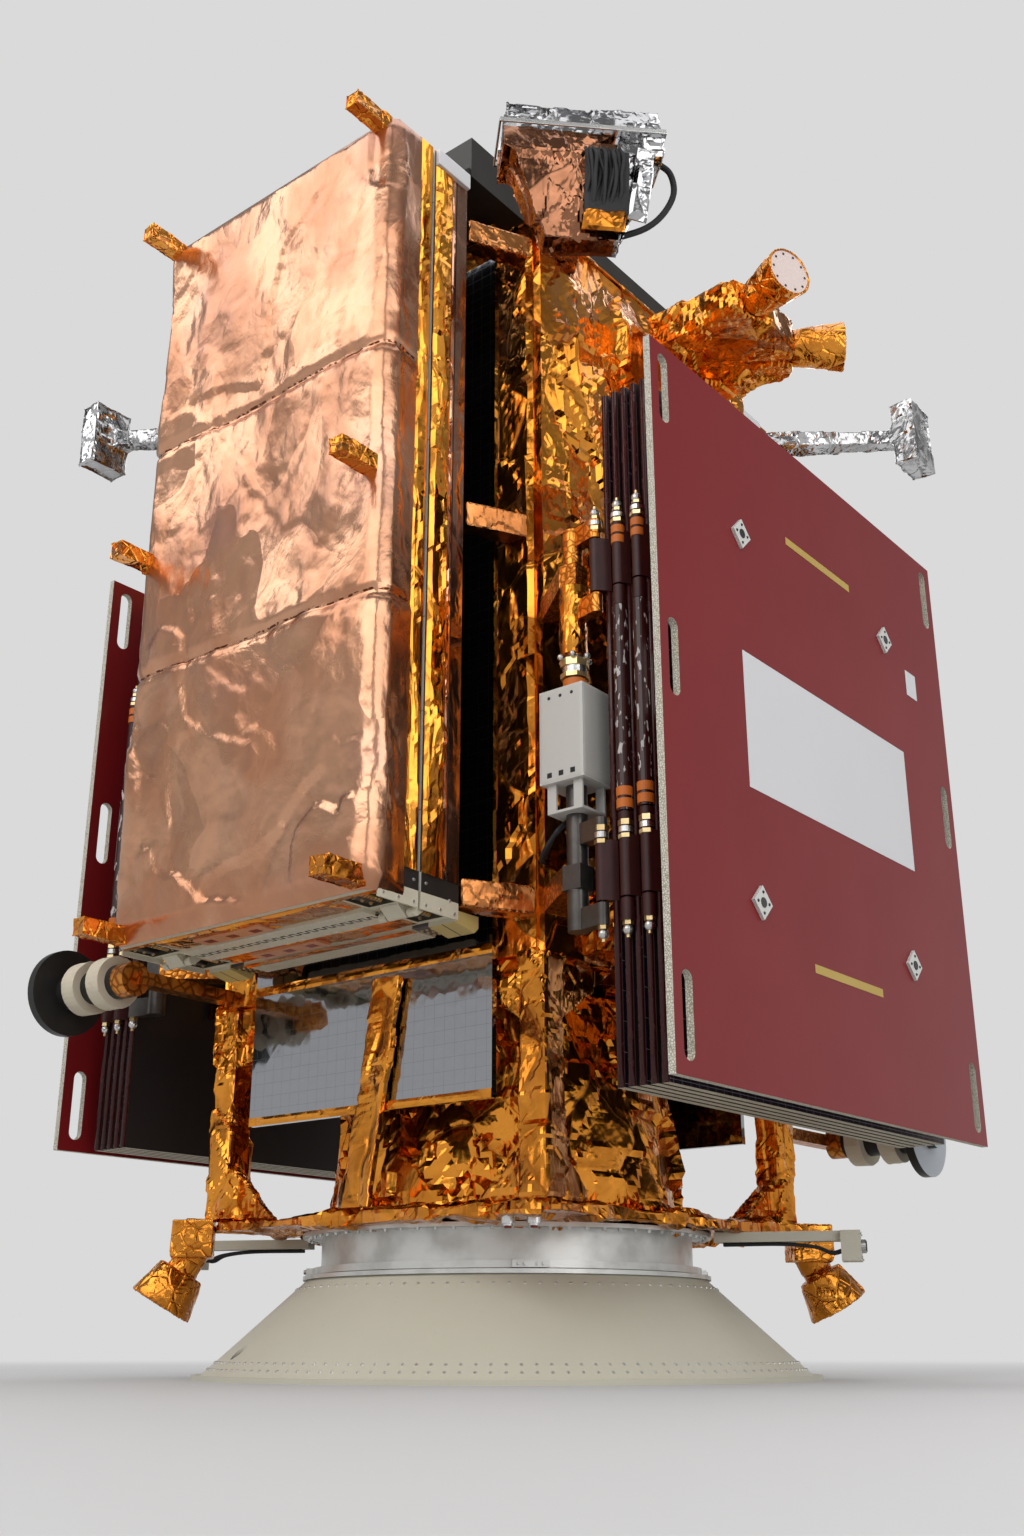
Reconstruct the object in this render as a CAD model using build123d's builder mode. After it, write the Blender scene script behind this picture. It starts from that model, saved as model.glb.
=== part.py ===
"""A radar satellite on its launch adapter, with its arrays and its antenna folded.

Millimetres. The origin is the centre of the adapter flange's lower face, and +Z is up.
+X and -X carry the solar arrays, -Y and +Y the folded antenna wings.
"""

import os
from math import cos, radians, sin, sqrt

from build123d import *

os.makedirs("parts", exist_ok=True)

# Adapter: a shallow cone that stands on a bolted flange
flange_radius = 980.0
flange_inner_radius = 930.0
flange_thickness = 14.0
bolt_ring_radius = 960.0
bolt_count = 140
bolt_hole = 10.0
cone_foot_radius = 950.0
cone_wall = 8.0
cone_top_height = 290.0
cone_hole_radius = 24.0
cone_hole_ring_radius = 875.0
cone_hole_angles = (-115.0, -175.0, 65.0)

# Separation interface at the top of the cone
interface_radius = 597.0
ring_land = 43.0
ring_thickness = 12.0
lip_width = 18.0
lip_height = 14.0
band_width = 18.0
band_height = 20.0
clamp_bolts = 4
clamp_block_width = 108.0
tab_count = 48
tab_width = 40.0
tab_depth = 24.0
tab_radial = 22.0
tab_inset = 3.0

# Spring pushers inside the cone
pusher_count = 6
pusher_first_angle = 47.0
pusher_offset = 15.0
pusher_radius = 25.0
pusher_foot = 35.0
pusher_head = 250.0
plunger_radius = 8.0
collar_width = 8.0
brace_height = 62.0
brace_thickness = 12.0
brace_width = 14.0
brace_spread = 4.5
brace_foot_share = 0.3
brace_link_radius = 745.0

# Wiring loom clipped round the inside of the cone
loom_ring_radius = 800.0
loom_radius = 9.0
loom_drop = 20.0
clip_count = 24
clip_width = 16.0

# Satellite's own interface ring and what closes it
ring_wall = 8.0
ring_height = 90.0
ring_flange_width = 70.0
ring_flange_thickness = 12.0
plate_thickness = 12.0
plate_rise = 34.0
skirt_radial = 32.0
skirt_height = 30.0
skirt_bulge = 0.8
cover_top = (470.0, 500.0)
cover_bottom = (615.0, 655.0)
cover_centre = (57.0, -42.0)
cover_drop = 200.0
cover_corner = 60.0
cover_edge = 26.0
cover_flare = 0.8
cover_recess_radius = 105.0
cover_recess_depth = 45.0

# Lower bay: deck, corner posts and thrust cone
deck_overhang = 30.0
deck_thickness = 40.0
deck_chamfer = 70.0
post_width = 110.0
post_corner = 22.0
post_inset = 60.0
gusset_thickness = 30.0
gusset_foot = (230.0, 190.0)
gusset_head = (330.0, 240.0)
thrust_foot_inset = 12.0
thrust_top_radius = 480.0

# Main body
body_half = 670.0
body_bottom = 1150.0
body_top = 3700.0
side_panel_thickness = 20.0
radiator_inset = 170.0
radiator_thickness = 20.0
radiator_bottom = 750.0
radiator_top = 3620.0
top_deck_overhang = 20.0
top_deck_thickness = 20.0
lug_inset = 55.0
lug_height = 70.0
lug_width = 60.0
lug_thickness = 24.0
lug_bore = 20.0

# Radar antenna: a panel on top and two folded wings of two panels each
antenna_half = 532.0
antenna_thickness = 165.0
wing_offset = 190.0
antenna_centre_bottom = 3835.0
antenna_bottom = 1229.0
antenna_gap = 10.0
antenna_hinge_drop = 20.0
antenna_hinge_inset = 70.0
antenna_hinge_half = 65.0
antenna_knuckle_end = 25.0
antenna_knuckle_gap = 6.0
antenna_foot = (10.0, 35.0)
antenna_barrel = 14.0
antenna_pin = 6.0
antenna_blanket = 22.0
antenna_rest_gap = 5.0
leg_inset = (270.0, 70.0)
leg_width = 90.0
hold_post_width = 65.0
hold_post_length = 170.0
hold_post_heights = (1262.0, 2522.0, 3782.0)
hold_arm_heights = (1300.0, 2522.0, 3600.0)
hold_arm_thickness = 90.0
hold_arm_width = 80.0
hold_arm_root = 90.0

# Lower edge of the wings: combs of teeth along the fold, hinge pockets, side plates and a ribbed strip
comb_half = 385.0
comb_pitch = 35.0
comb_tooth_width = 12.0
comb_tooth_reach = 6.0
comb_tooth_thickness = 6.0
comb_base = (12.0, 62.0)
comb_thickness = 12.0
pocket_inset = (50.0, 150.0)
pocket_depth = 30.0
pocket_wall = 6.0
side_plate_thickness = 6.0
side_plate_reach = 158.0
side_plate_height = (90.0, 40.0)
side_plate_drop = 15.0
strip_half = 355.0
strip_width = 75.0
strip_standoff = 28.0
strip_thickness = 30.0
strip_drop = 14.0
rib_pitch = 15.0
rib_groove = (5.0, 6.0)
end_block = (100.0, strip_standoff + strip_width, 34.0)
end_block_slope = 16.0
end_block_inset = 12.0

# Hinges of the arrays and of the antenna
foot_depth = 5.0
running_gap = 0.1

# Solar arrays: five panels a side, folded like a screen, under a red cover
panel_count = 5
array_offset = 327.0
panel_thickness = 24.0
panel_gap = 10.0
panel_near = -785.0
panel_far = 845.0
panel_bottom = 715.0
panel_top = 2790.0
array_hinge_reach = 24.0
array_root_offset = 17.0
array_hinge_spread = 460.0
array_hinge_length = 300.0
array_knuckle_end = 60.0
array_knuckle_gap = 6.0
array_barrel = 18.0
array_pin = 8.0
array_rest_gap = 5.0
hold_down_near = -430.0
hold_down_far = 530.0
hold_down_low = 1240.0
hold_down_high = 2390.0
hold_down_hole = 30.0
outrigger_root = 170.0
outrigger_taper = 5.0
cover_standoff = 65.0
cover_tube_wall = 12.0
cover_thickness = 22.0
cover_near = -890.0
cover_far = 990.0
cover_low = 714.0
cover_high = 2850.0
cover_slot = (50.0, 230.0)
cover_slot_inset = 65.0
cover_slot_heights = (868.0, 1847.0, 2700.0)
cover_fixing_side = 70.0
cover_fixing_thickness = 10.0

# Root of each solar array
root_tube_offset = (95.0, 19.0)
root_tube_radius = 30.0
root_arm_thickness = 70.0
root_arm_width = 110.0
drive_size = (150.0, 140.0, 280.0)
drive_height = 1700.0

# Boxes, sensors and small units round the body
corner_box_size = (520.0, 200.0, 200.0)
corner_box_flare = 30.0
corner_box_offset = (376.0, 275.0)
corner_box_drop = 100.0
corner_curtain_top = (440.0, 170.0)
corner_curtain_foot = (250.0, 110.0)
corner_curtain_drop = 290.0
corner_arm_width = 110.0
corner_arm_height = 80.0
foil_box_size = (100.0, 170.0, 270.0)
foil_box_offset = (570.0, 315.0)
foil_box_drop = 275.0
foil_arm_width = 80.0
shelf_height = 140.0
shelf_drop = 90.0
tracker_mouths = ((-20.0, 592.0, 0.0), (36.0, 530.0, 510.0))  # turn, distance out from the body, place along it
tracker_seat = 170.0
tracker_radius = 90.0
tracker_length = 190.0
tracker_neck = 66.0
tracker_wall = 5.0
boom_bracket = (60.0, 410.0, 40.0)
boom_heights = (1180.0, 780.0)
boom_inset = 40.0
boom_radius = 55.0
boom_length = 340.0
boom_collar = (80.0, 55.0)
boom_collar_places = (90.0, 215.0)
dish_radius = 140.0
dish_thickness = 30.0
dish_hub = 45.0
thruster_angles = (45.0, 225.0)
thruster_block = (125.0, 120.0, 110.0)
thruster_seat = (95.0, 157.0)
thruster_tilt = 30.0
thruster_stem = (110.0, 45.0)
thruster_throat = 70.0
thruster_mouth = 100.0
thruster_length = 110.0
thruster_wall = 5.0
connector_angles = (25.0, 205.0)
connector_arm = (450.0, 60.0, 30.0)
connector_block = (60.0, 110.0, 90.0)
connector_clearance = 15.0

# Heights and places that follow from the sizes above
cone_top_radius = interface_radius + ring_land
pusher_ring_radius = interface_radius + pusher_offset
thrust_foot_radius = interface_radius - thrust_foot_inset
deck_half = body_half + deck_overhang
radiator_half = body_half - radiator_inset
top_deck_half = body_half + top_deck_overhang
lug_place = body_half - lug_inset
antenna_centre_half = body_half + wing_offset
antenna_hinge_place = antenna_half - antenna_hinge_inset
hold_post_place = antenna_half - 0.5 * hold_post_width
panel_first = body_half + array_offset
cone_run = cone_foot_radius - cone_top_radius
cone_rise = cone_top_height - flange_thickness
cone_slant = sqrt(cone_run**2 + cone_rise**2)
cone_wall_run = cone_wall * cone_slant / cone_rise
lip_base = cone_top_height + ring_thickness
separation_height = lip_base + lip_height
lip_inner = interface_radius - 0.5 * lip_width
lip_outer = interface_radius + 0.5 * lip_width
ring_top = separation_height + ring_height + ring_flange_thickness * 2
deck_bottom = ring_top
deck_top = deck_bottom + deck_thickness
plate_bottom = separation_height + plate_rise
post_place = deck_half - post_inset
body_wall_face = body_half - side_panel_thickness
top_deck_top = body_top + top_deck_thickness
wing_inner_face = antenna_centre_half + antenna_hinge_drop
wing_fold_face = wing_inner_face + antenna_thickness
wing_outer_face = wing_fold_face + antenna_gap
wing_back_face = wing_outer_face + antenna_thickness
wing_top = antenna_centre_bottom - antenna_hinge_drop
fold_axis_y = wing_fold_face + 0.5 * antenna_gap
fold_axis_z = antenna_bottom - antenna_hinge_drop
panel_pitch = panel_thickness + panel_gap
panel_width = panel_far - panel_near
panel_height = panel_top - panel_bottom
panel_middle = 0.5 * (panel_near + panel_far)
panel_mid_height = 0.5 * (panel_bottom + panel_top)
stack_face = panel_first + (panel_count - 1) * panel_pitch + panel_thickness
root_axis_x = panel_first - array_root_offset
near_axis_y = panel_near - array_hinge_reach
far_axis_y = panel_far + array_hinge_reach
hinge_heights = (panel_mid_height - array_hinge_spread, panel_mid_height + array_hinge_spread)


def cone_inner_radius(height):
    """Radius of the cone's inner face at a height."""
    return cone_foot_radius - cone_wall_run - (height - flange_thickness) * cone_run / cone_rise


def save(solid, name):
    """Label one finished piece and write it."""
    solid.label = name
    export_step(solid, f"parts/{name}.step")


def polar(radius, angle):
    """A point at a radius and an angle in degrees."""
    return radius * cos(radians(angle)), radius * sin(radians(angle))


# Adapter flange with its bolt circle
with BuildPart() as adapter_flange:
    with BuildSketch():
        Circle(flange_radius)
        Circle(flange_inner_radius, mode=Mode.SUBTRACT)
        with PolarLocations(bolt_ring_radius, bolt_count):
            Circle(0.5 * bolt_hole, mode=Mode.SUBTRACT)
    extrude(amount=flange_thickness)
save(adapter_flange.part, "adapter_flange")

# Adapter cone with three access holes
with BuildPart() as adapter_cone:
    with BuildSketch(Plane.XZ):
        Polygon(
            (cone_foot_radius, flange_thickness),
            (cone_top_radius, cone_top_height),
            (cone_top_radius - cone_wall_run, cone_top_height),
            (cone_foot_radius - cone_wall_run, flange_thickness),
            align=None,
        )
    revolve(axis=Axis.Z)
    with Locations([polar(cone_hole_ring_radius, angle) for angle in cone_hole_angles]):
        Cylinder(
            cone_hole_radius,
            cone_top_height,
            align=(Align.CENTER, Align.CENTER, Align.MIN),
            mode=Mode.SUBTRACT,
        )
save(adapter_cone.part, "adapter_cone")

# Ring on the cone's top, with the lip that the clamp band grips and a row of tabs
with BuildPart() as interface_ring:
    with BuildSketch(Plane.XZ):
        Polygon(
            (interface_radius, cone_top_height),
            (cone_top_radius + ring_thickness, cone_top_height),
            (cone_top_radius + ring_thickness, lip_base),
            (lip_outer, lip_base),
            (lip_outer, separation_height),
            (lip_inner, separation_height),
            (lip_inner, lip_base),
            (interface_radius, lip_base),
            align=None,
        )
    revolve(axis=Axis.Z)
    tab_start = pusher_first_angle + 180 / tab_count
    with BuildSketch(Plane.XY.offset(cone_top_height)):
        with PolarLocations(interface_radius + tab_inset, tab_count, start_angle=tab_start):
            Rectangle(tab_radial, tab_width, align=(Align.MIN, Align.CENTER))
    extrude(amount=-tab_depth)
save(interface_ring.part, "interface_ring")

# Clamp band round the two lips, closed by bolted blocks
with BuildPart() as clamp_band:
    with BuildSketch(Plane.XY.offset(separation_height - 0.5 * band_height)):
        Circle(lip_outer + band_width)
        with PolarLocations(lip_outer + band_width, clamp_bolts, start_angle=45):
            Rectangle(2 * band_width, clamp_block_width)
        Circle(lip_outer, mode=Mode.SUBTRACT)
    extrude(amount=band_height)
save(clamp_band.part, "clamp_band")

# Spring pushers that hang from the interface ring
with BuildPart() as spring_pushers:
    with BuildSketch(Plane.XY.offset(pusher_foot)):
        with PolarLocations(pusher_ring_radius, pusher_count, start_angle=pusher_first_angle):
            Circle(pusher_radius)
    extrude(amount=pusher_head - pusher_foot)
    with BuildSketch(Plane.XY.offset(pusher_head)):
        with PolarLocations(pusher_ring_radius, pusher_count, start_angle=pusher_first_angle):
            Circle(plunger_radius)
    extrude(amount=cone_top_height - pusher_head)
save(spring_pushers.part, "spring_pushers")

# Braces from each pusher out to the cone's inner face
brace_reach = cone_foot_radius
with BuildPart() as pusher_braces:
    with BuildSketch(Plane.XY.offset(brace_height)):
        with PolarLocations(pusher_ring_radius, pusher_count, start_angle=pusher_first_angle):
            Circle(pusher_radius + collar_width)
        for spring in range(pusher_count):
            middle = pusher_first_angle + 360 / pusher_count * spring
            for sense in (-1, 1):
                with BuildLine():
                    Line(
                        polar(pusher_ring_radius, middle + brace_foot_share * sense * brace_spread),
                        polar(brace_reach, middle + sense * brace_spread),
                    )
                    offset(amount=0.5 * brace_width, side=Side.BOTH)
                make_face()
        with PolarLocations(brace_link_radius, pusher_count, start_angle=pusher_first_angle):
            Rectangle(brace_width, 2 * brace_link_radius * sin(radians(brace_spread)))
        with PolarLocations(pusher_ring_radius, pusher_count, start_angle=pusher_first_angle):
            Circle(pusher_radius, mode=Mode.SUBTRACT)
    extrude(amount=brace_thickness)
    with BuildSketch(Plane.XZ):
        Polygon(
            (cone_inner_radius(0), 0),
            (cone_inner_radius(cone_top_height), cone_top_height),
            (flange_radius, cone_top_height),
            (flange_radius, 0),
            align=None,
        )
    revolve(axis=Axis.Z, mode=Mode.SUBTRACT)
save(pusher_braces.part, "pusher_braces")

# Wiring loom, one ring held by clips under the cone
loom_height = flange_thickness + (cone_foot_radius - cone_wall_run - loom_ring_radius) * cone_rise / cone_run
loom_height -= loom_drop
with BuildPart() as adapter_loom:
    with BuildSketch(Plane.XZ):
        with Locations((loom_ring_radius, loom_height)):
            RegularPolygon(loom_radius, side_count=8)
    revolve(axis=Axis.Z)
    with BuildSketch(Plane.XY.offset(loom_height)):
        with PolarLocations(loom_ring_radius, clip_count):
            Rectangle(clip_width, clip_width)
    extrude(amount=2 * loom_drop)
    with BuildSketch(Plane.XZ):
        Polygon(
            (cone_inner_radius(0), 0),
            (cone_inner_radius(cone_top_height), cone_top_height),
            (flange_radius, cone_top_height),
            (flange_radius, 0),
            align=None,
        )
    revolve(axis=Axis.Z, mode=Mode.SUBTRACT)
save(adapter_loom.part, "adapter_loom")

# Satellite's interface ring, from the lip up to the lower deck
with BuildPart() as satellite_ring:
    lip_top = separation_height + ring_flange_thickness
    with BuildSketch(Plane.XZ):
        Polygon(
            (lip_inner, separation_height),
            (lip_outer, separation_height),
            (lip_outer, lip_top),
            (lip_inner + ring_wall, lip_top),
            (lip_inner + ring_wall, ring_top - ring_flange_thickness),
            (lip_inner + ring_flange_width, ring_top - ring_flange_thickness),
            (lip_inner + ring_flange_width, ring_top),
            (lip_inner, ring_top),
            align=None,
        )
    revolve(axis=Axis.Z)
save(satellite_ring.part, "satellite_ring")

# Rolled foil skirt inside the ring, under the base plate
with BuildPart() as ring_skirt:
    with BuildSketch(Plane.XZ):
        Polygon(
            (lip_inner, plate_bottom - skirt_height),
            (lip_inner, plate_bottom),
            (lip_inner - skirt_radial, plate_bottom),
            (lip_inner - skirt_bulge * skirt_radial, plate_bottom - skirt_bulge * skirt_height),
            align=None,
        )
    revolve(axis=Axis.Z)
save(ring_skirt.part, "ring_skirt")

# Base plate that closes the ring
with BuildPart() as base_plate:
    with BuildSketch(Plane.XY.offset(plate_bottom)):
        Circle(lip_inner)
    extrude(amount=plate_thickness)
save(base_plate.part, "base_plate")

# Foil cover under the base plate, flared downwards, with a round recess
with BuildPart() as base_cover:
    with BuildSketch(Plane.XY.offset(plate_bottom)):
        with Locations(cover_centre):
            RectangleRounded(*cover_top, cover_corner)
    with BuildSketch(Plane.XY.offset(plate_bottom - cover_flare * cover_drop)):
        with Locations(cover_centre):
            RectangleRounded(*cover_bottom, cover_corner)
    loft()
    with BuildSketch(Plane.XY.offset(plate_bottom - cover_flare * cover_drop)):
        with Locations(cover_centre):
            RectangleRounded(*cover_bottom, cover_corner)
    extrude(amount=(cover_flare - 1) * cover_drop)
    chamfer(base_cover.faces().sort_by(Axis.Z)[0].edges(), cover_edge)
    with BuildSketch(Plane.XY.offset(plate_bottom - cover_drop)):
        with Locations(cover_centre):
            Circle(cover_recess_radius)
    extrude(amount=cover_recess_depth, mode=Mode.SUBTRACT)
save(base_cover.part, "base_cover")

# Lower deck
with BuildPart() as bottom_deck:
    with BuildSketch(Plane.XY.offset(deck_bottom)):
        deck_outline = Rectangle(2 * deck_half, 2 * deck_half)
        chamfer(deck_outline.vertices(), deck_chamfer)
    extrude(amount=deck_thickness)
save(bottom_deck.part, "bottom_deck")

# Corner posts between the lower deck and the main body, with gussets along both sides
post_corners = ((1, -1), (1, 1), (-1, 1), (-1, -1))
for number, (side_x, side_y) in enumerate(post_corners, start=1):
    with BuildPart() as corner_post:
        with BuildSketch(Plane.XY.offset(deck_top)):
            with Locations((side_x * post_place, side_y * post_place)):
                RectangleRounded(post_width, post_width, post_corner)
        extrude(amount=body_bottom - deck_top)
        for upright, along, across in ((Plane.XZ, side_x, -side_y), (Plane.YZ, side_y, side_x)):
            with BuildSketch(upright.offset(across * post_place - 0.5 * gusset_thickness)):
                for end, rise, (reach, height) in ((deck_top, 1, gusset_foot), (body_bottom, -1, gusset_head)):
                    Polygon(
                        (along * post_place, end),
                        (along * (post_place - reach), end),
                        (along * post_place, end + rise * height),
                        align=None,
                    )
            extrude(amount=gusset_thickness)
    save(corner_post.part, f"corner_post_{number}")

# Thrust cone in the middle of the lower bay
with BuildPart() as thrust_cone:
    with BuildSketch(Plane.XZ):
        Polygon(
            (0, deck_top),
            (thrust_foot_radius, deck_top),
            (thrust_top_radius, body_bottom),
            (0, body_bottom),
            align=None,
        )
    revolve(axis=Axis.Z)
save(thrust_cone.part, "thrust_cone")

# Main body, closed on all sides
with BuildPart() as main_body:
    with BuildSketch(Plane.XY.offset(body_bottom)):
        Rectangle(2 * body_wall_face, 2 * body_half)
    extrude(amount=body_top - body_bottom)
save(main_body.part, "main_body")

# Side panels, radiators and the top deck of the main body
for side, sense in (("r", 1), ("l", -1)):
    with BuildPart() as side_panel:
        with BuildSketch(Plane.XY.offset(body_bottom)):
            with Locations((sense * (body_wall_face + 0.5 * side_panel_thickness), 0)):
                Rectangle(side_panel_thickness, 2 * body_half)
        extrude(amount=body_top - body_bottom)
    save(side_panel.part, f"side_panel_{side}")

for side, sense in (("front", -1), ("back", 1)):
    with BuildPart() as radiator:
        with BuildSketch(Plane.XY.offset(radiator_bottom)):
            with Locations((0, sense * (body_half + 0.5 * radiator_thickness))):
                Rectangle(2 * radiator_half, radiator_thickness)
        extrude(amount=radiator_top - radiator_bottom)
    save(radiator.part, f"radiator_{side}")

with BuildPart() as top_deck:
    with BuildSketch(Plane.XY.offset(body_top)):
        Rectangle(2 * top_deck_half, 2 * top_deck_half)
    extrude(amount=top_deck_thickness)
save(top_deck.part, "top_deck")

# Lifting lugs on the top deck
with BuildPart() as lifting_lugs:
    for side_x in (-1, 1):
        for side_y in (-1, 1):
            with BuildSketch(Plane.XZ.offset(-side_y * lug_place - 0.5 * lug_thickness)):
                with Locations((side_x * lug_place, top_deck_top + lug_height - 0.5 * lug_width)):
                    Circle(0.5 * lug_width)
                with Locations((side_x * lug_place, top_deck_top)):
                    foot_align = (Align.CENTER, Align.MIN)
                    Rectangle(lug_width, lug_height - 0.5 * lug_width, align=foot_align)
                with Locations((side_x * lug_place, top_deck_top + lug_height - 0.5 * lug_width)):
                    Circle(0.5 * lug_bore, mode=Mode.SUBTRACT)
            extrude(amount=lug_thickness)
save(lifting_lugs.part, "lifting_lugs")


def knuckle(plane, axis, barrel, foot, length, bore=0.0):
    """A hinge leaf: a barrel round an axis drawn to a foot, which is (low x, low y, high x, high y)."""
    with BuildPart() as leaf:
        with BuildSketch(plane):
            with Locations(axis):
                Circle(barrel)
            with Locations((0.5 * (foot[0] + foot[2]), 0.5 * (foot[1] + foot[3]))):
                Rectangle(abs(foot[2] - foot[0]), abs(foot[3] - foot[1]))
            make_hull()
            if bore:
                with Locations(axis):
                    Circle(bore, mode=Mode.SUBTRACT)
        extrude(amount=length)
    return leaf.part


def antenna_knuckles(axis, foot, outer):
    """The two end leaves with the pin, or the middle leaf, at both hinges of one fold line."""
    leaves = []
    for place in (-antenna_hinge_place, antenna_hinge_place):
        low = place - antenna_hinge_half
        high = place + antenna_hinge_half
        if outer:
            for start in (low, high - antenna_knuckle_end):
                leaves.append(
                    knuckle(Plane.YZ.offset(start), axis, antenna_barrel, foot, antenna_knuckle_end)
                )
            with BuildPart() as pin:
                with BuildSketch(Plane.YZ.offset(low)):
                    with Locations(axis):
                        Circle(antenna_pin)
                extrude(amount=2 * antenna_hinge_half)
            leaves.append(pin.part)
        else:
            start = low + antenna_knuckle_end + antenna_knuckle_gap
            length = 2 * (antenna_hinge_half - antenna_knuckle_end - antenna_knuckle_gap)
            bore = antenna_pin + running_gap
            leaves.append(knuckle(Plane.YZ.offset(start), axis, antenna_barrel, foot, length, bore))
    return leaves


# Centre panel of the radar antenna, with the fixed leaves of both wings' hinges
with BuildPart() as antenna_centre:
    with BuildSketch(Plane.XY.offset(antenna_centre_bottom)):
        Rectangle(2 * antenna_half, 2 * antenna_centre_half)
    extrude(amount=antenna_thickness)
    for sense in (-1, 1):
        edge = sense * antenna_centre_half
        foot = (
            edge,
            antenna_centre_bottom + foot_depth,
            edge + sense * foot_depth,
            antenna_centre_bottom + antenna_foot[1],
        )
        axis = (sense * wing_inner_face, antenna_centre_bottom)
        add(antenna_knuckles(axis, foot, outer=True))
save(antenna_centre.part, "antenna_centre")

# Legs between the top deck and the centre panel
with BuildPart() as antenna_legs:
    with BuildSketch(Plane.XY.offset(top_deck_top)):
        leg_spread = [2 * (body_half - inset) for inset in leg_inset]
        with GridLocations(*leg_spread, 2, 2):
            Rectangle(leg_width, leg_width)
    extrude(amount=antenna_centre_bottom - top_deck_top)
save(antenna_legs.part, "antenna_legs")

def lower_edge(sense, away):
    """What both panels of a wing have at their lower edge; away is the way from the fold into the panel."""
    fold = sense * fold_axis_y
    outward = sense * away
    shift = 0.25 * away * comb_pitch
    tooth_count = int(2 * comb_half / comb_pitch)
    tooth_start = antenna_bottom - comb_thickness
    with BuildPart() as edge:
        # Comb: a strip under the panel, and thinner teeth that reach past the fold line
        with BuildSketch(Plane.XY.offset(tooth_start)):
            with Locations((0, fold + 0.5 * outward * (comb_base[0] + comb_base[1]))):
                Rectangle(2 * comb_half, comb_base[1] - comb_base[0])
        extrude(amount=comb_thickness)
        with BuildSketch(Plane.XY.offset(tooth_start)):
            with Locations((shift, fold + 0.5 * outward * (comb_base[0] - comb_tooth_reach))):
                with GridLocations(comb_pitch, 1, tooth_count, 1):
                    Rectangle(comb_tooth_width, comb_base[0] + comb_tooth_reach)
        extrude(amount=comb_tooth_thickness)
        # Plates on the panel's two sides, cut low towards the fold
        for side_x in (-1, 1):
            with BuildSketch(Plane.YZ.offset(side_x * antenna_half)):
                near = fold + 0.5 * outward * antenna_gap
                far = near + outward * side_plate_reach
                Polygon(
                    (near, antenna_bottom - side_plate_drop),
                    (near, antenna_bottom + side_plate_height[0]),
                    (far, antenna_bottom + side_plate_height[1]),
                    (far, antenna_bottom - side_plate_drop),
                    align=None,
                )
            extrude(amount=side_x * side_plate_thickness)
    return edge.part


def hinge_pockets(sense, away):
    """The hollows beside a panel's fold hinges, open downwards."""
    middle = sense * (fold_axis_y + 0.5 * away * (pocket_inset[0] + pocket_inset[1]))
    outer_end = antenna_half - pocket_wall
    inner_end = antenna_hinge_place - antenna_hinge_half
    with BuildPart() as pockets:
        with BuildSketch(Plane.XY.offset(antenna_bottom)):
            with Locations((0, middle)):
                with GridLocations(outer_end + inner_end, 1, 2, 1):
                    Rectangle(outer_end - inner_end, pocket_inset[1] - pocket_inset[0])
        extrude(amount=pocket_depth)
    return pockets.part


def radiating_strip(sense):
    """The ribbed strip under the inner panel's body side, with a sloped block at each end."""
    face = sense * wing_inner_face
    bottom = antenna_bottom - strip_drop
    with BuildPart() as strip:
        with BuildSketch(Plane.XY.offset(bottom)):
            with Locations((0, face - 0.5 * sense * (strip_standoff + strip_width))):
                Rectangle(2 * strip_half, strip_standoff + strip_width)
        extrude(amount=strip_thickness)
        with BuildSketch(Plane.XY.offset(bottom)):
            with Locations((0, face - sense * (strip_standoff + 0.5 * strip_width))):
                with GridLocations(rib_pitch, 1, int(2 * strip_half / rib_pitch) - 1, 1):
                    Rectangle(rib_groove[0], strip_width)
        extrude(amount=rib_groove[1], mode=Mode.SUBTRACT)
        for side_x in (-1, 1):
            with BuildSketch(Plane.YZ.offset(side_x * (antenna_half - end_block_inset))):
                Polygon(
                    (face, bottom + end_block[2]),
                    (face, bottom),
                    (face - sense * (end_block[1] - end_block_slope), bottom - end_block_slope),
                    (face - sense * end_block[1], bottom),
                    (face - sense * end_block[1], bottom + end_block[2]),
                    align=None,
                )
            extrude(amount=-side_x * end_block[0])
    return strip.part


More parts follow.
